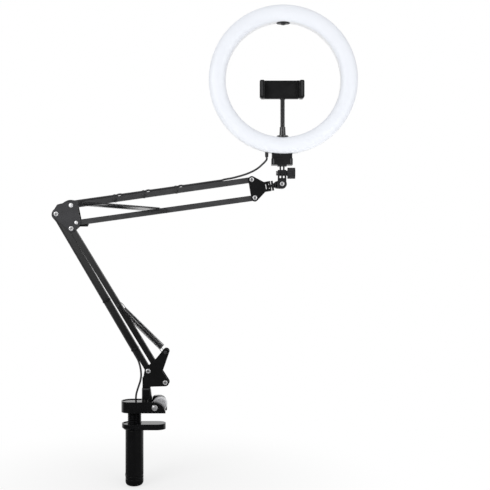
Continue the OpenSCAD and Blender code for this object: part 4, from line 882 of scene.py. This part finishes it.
tie_nylon = coated("tie_nylon", (0.034, 0.034, 0.035), rough=0.36, shine=0.3, grain=0.4, relief=0.008)
tie_black = coated("tie_black", (0.008, 0.008, 0.0085), rough=0.36, shine=0.2, grain=0.4, relief=0.008)
bar_half, tie_w, tie_t, lead_top, lead_half, shoulder = 4.82, 3.0, 0.5, lift + lead_r + 0.06, 2.0, 2.5
lock_out, lock_half_h, lock_half_w = 3.4, 2.4, 2.2
tie_corners = [(-bar_half, -bar_half), (bar_half, -bar_half), (bar_half, shoulder), (lead_half, lead_top),
               (-lead_half, lead_top), (-bar_half, shoulder)]
tie_loop = rounded(tie_corners, [0.8, 0.8, 1.2, 1.4, 1.4, 1.2])
upper_length, lower_length = 319.8, 318.9
for level, bar, nylon, pivot, angle, places in (
        ("upper", "upper_top", tie_nylon, elbow_c, upper_angle, upper_length * np.array([0.24, 0.4, 0.58])),
        ("lower", "lower_left", tie_black, base_a, lower_angle, lower_length * np.array([0.14, 0.45]))):
    hearts = [beside(pivot, angle, place, 0) for place in places]
    straps = [grid for heart in hearts for grid in tie(heart, *climbing(angle))]
    piece(level + "_straps", straps, nylon, bar, [level + "_ties"])
tie_low, tie_high = box_of("hank_tie")
hank_loop = plate(tie_low[0] + 1, tie_high[0] - 1, tie_low[1] + 1, tie_high[1] - 1, radius=2.5)
hank_strap = strap(hank_loop, width=tie_high[2] - tie_low[2], thick=0.9,
                   place=lambda x, y, z: np.stack([x, y, z + (tie_low + tie_high)[2] / 2], -1))
piece("hank_strap", [hank_strap], tie_black, "clamp", ["hank_tie"])


# Stage: a pale floor under the handle, a white surround that glossy pieces see too, soft lamps, and the
# level camera of the photograph.
def floor_paint():
    """A matt near-white floor that fades to the surround's white away from the object. Glossy and clear
    pieces see it as they see the surround: white behind the object and darker in front of it."""
    material, surface, net, place = shader("floor_paint")
    rays = net.add("LightPath").outputs
    distance = net.add("VectorMath", {0: place}, operation="LENGTH").outputs["Value"]
    fade = net.ranged(distance, 0.05, 0.5, 0.7, kind="SMOOTHSTEP")
    behind = net.ranged(net.part_of(place, "Y"), -0.1, 0.4, kind="SMOOTHSTEP")
    mirror = net.reckon("MAXIMUM", rays["Is Glossy Ray"], rays["Is Transmission Ray"])
    shown = net.reckon("MAXIMUM", net.reckon("MULTIPLY", fade, rays["Is Camera Ray"]),
                       net.reckon("MULTIPLY", mirror, behind))
    paint = net.mixed(mirror, (0.94, 0.94, 0.94, 1), (0.1, 0.1, 0.1, 1))
    net.fill(surface, {"Base Color": paint, "Roughness": 0.9, "Specular IOR Level": 0.1})
    white = net.add("Emission", {"Color": (1, 1, 1, 1), "Strength": 1.0})
    both = net.add("MixShader", {0: shown, 1: surface.outputs[0], 2: white.outputs[0]})
    net.fill(net.tree.nodes["Material Output"], {"Surface": both.outputs[0]})
    return material


floor_z, reach = solid_box[0][2] - 0.0005, 30.0
floor = bpy.data.meshes.new("floor")
floor.from_pydata([(-reach, -reach, floor_z), (reach, -reach, floor_z), (reach, reach, floor_z),
                   (-reach, reach, floor_z)], [], [(0, 1, 2, 3)])
floor.materials.append(floor_paint())
placed("floor", floor)


def surround():
    """White where the camera looks. Glossy pieces see white behind the object and a darker room in front of
    it; matt pieces get more light from the front than from behind."""
    world = bpy.data.worlds.new("surround")
    bpy.context.scene.world = world
    world.use_nodes = True
    world.node_tree.nodes.clear()
    net = ShaderNodes(world.node_tree)
    rays, way = net.add("LightPath").outputs, net.part_of(net.add("TexCoord").outputs["Generated"], "Y")
    shown = net.reckon("MAXIMUM", rays["Is Camera Ray"], net.ranged(way, -0.75, 0.35, 0.09, 1.0))
    sharp = net.reckon("MAXIMUM", rays["Is Camera Ray"], rays["Is Glossy Ray"])
    clear = net.reckon("MAXIMUM", sharp, rays["Is Transmission Ray"])
    soft = net.add("Background", {"Color": (1, 1, 1, 1), "Strength": net.ranged(way, -1.0, 1.0, 0.74, 0.38)})
    bright = net.add("Background", {"Color": (1, 1, 1, 1), "Strength": shown})
    both = net.add("MixShader", {0: clear, 1: soft.outputs[0], 2: bright.outputs[0]})
    net.add("OutputWorld", {"Surface": both.outputs[0]})


surround()


def soft_lamp(name, place, aim, size, power):
    """A square soft lamp at a place, turned to a point."""
    lamp = bpy.data.lights.new(name, "AREA")
    lamp.size, lamp.energy = size, power
    made = placed(name, lamp)
    made.location = place
    made.rotation_euler = (Vector(aim) - Vector(place)).to_track_quat("-Z", "Y").to_euler()
    return made


soft_lamp("key_lamp", place=(-1.1, -1.6, 0.9), aim=(0.1, 0, 0.4), size=1.0, power=13.2)
soft_lamp("fill_lamp", place=(1.3, -1.5, 0.6), aim=(0.1, 0, 0.35), size=1.0, power=8.5)
bounce = soft_lamp("bounce_lamp", place=(0.25, 0, -0.12), aim=(0.25, 0.001, 0.4), size=0.8, power=2.2)
bounce.visible_camera, bounce.visible_glossy = False, False

camera = bpy.data.cameras.new("photo_camera")
camera.lens, camera.sensor_width, camera.clip_end = 60.98, 36.0, 100.0
viewer = placed("photo_camera", camera)
viewer.location, viewer.rotation_euler = (0.1725, -1.461, 0.2929), (math.pi / 2, 0, 0)
bpy.context.scene.camera = viewer
bpy.context.scene.view_settings.view_transform = "Standard"
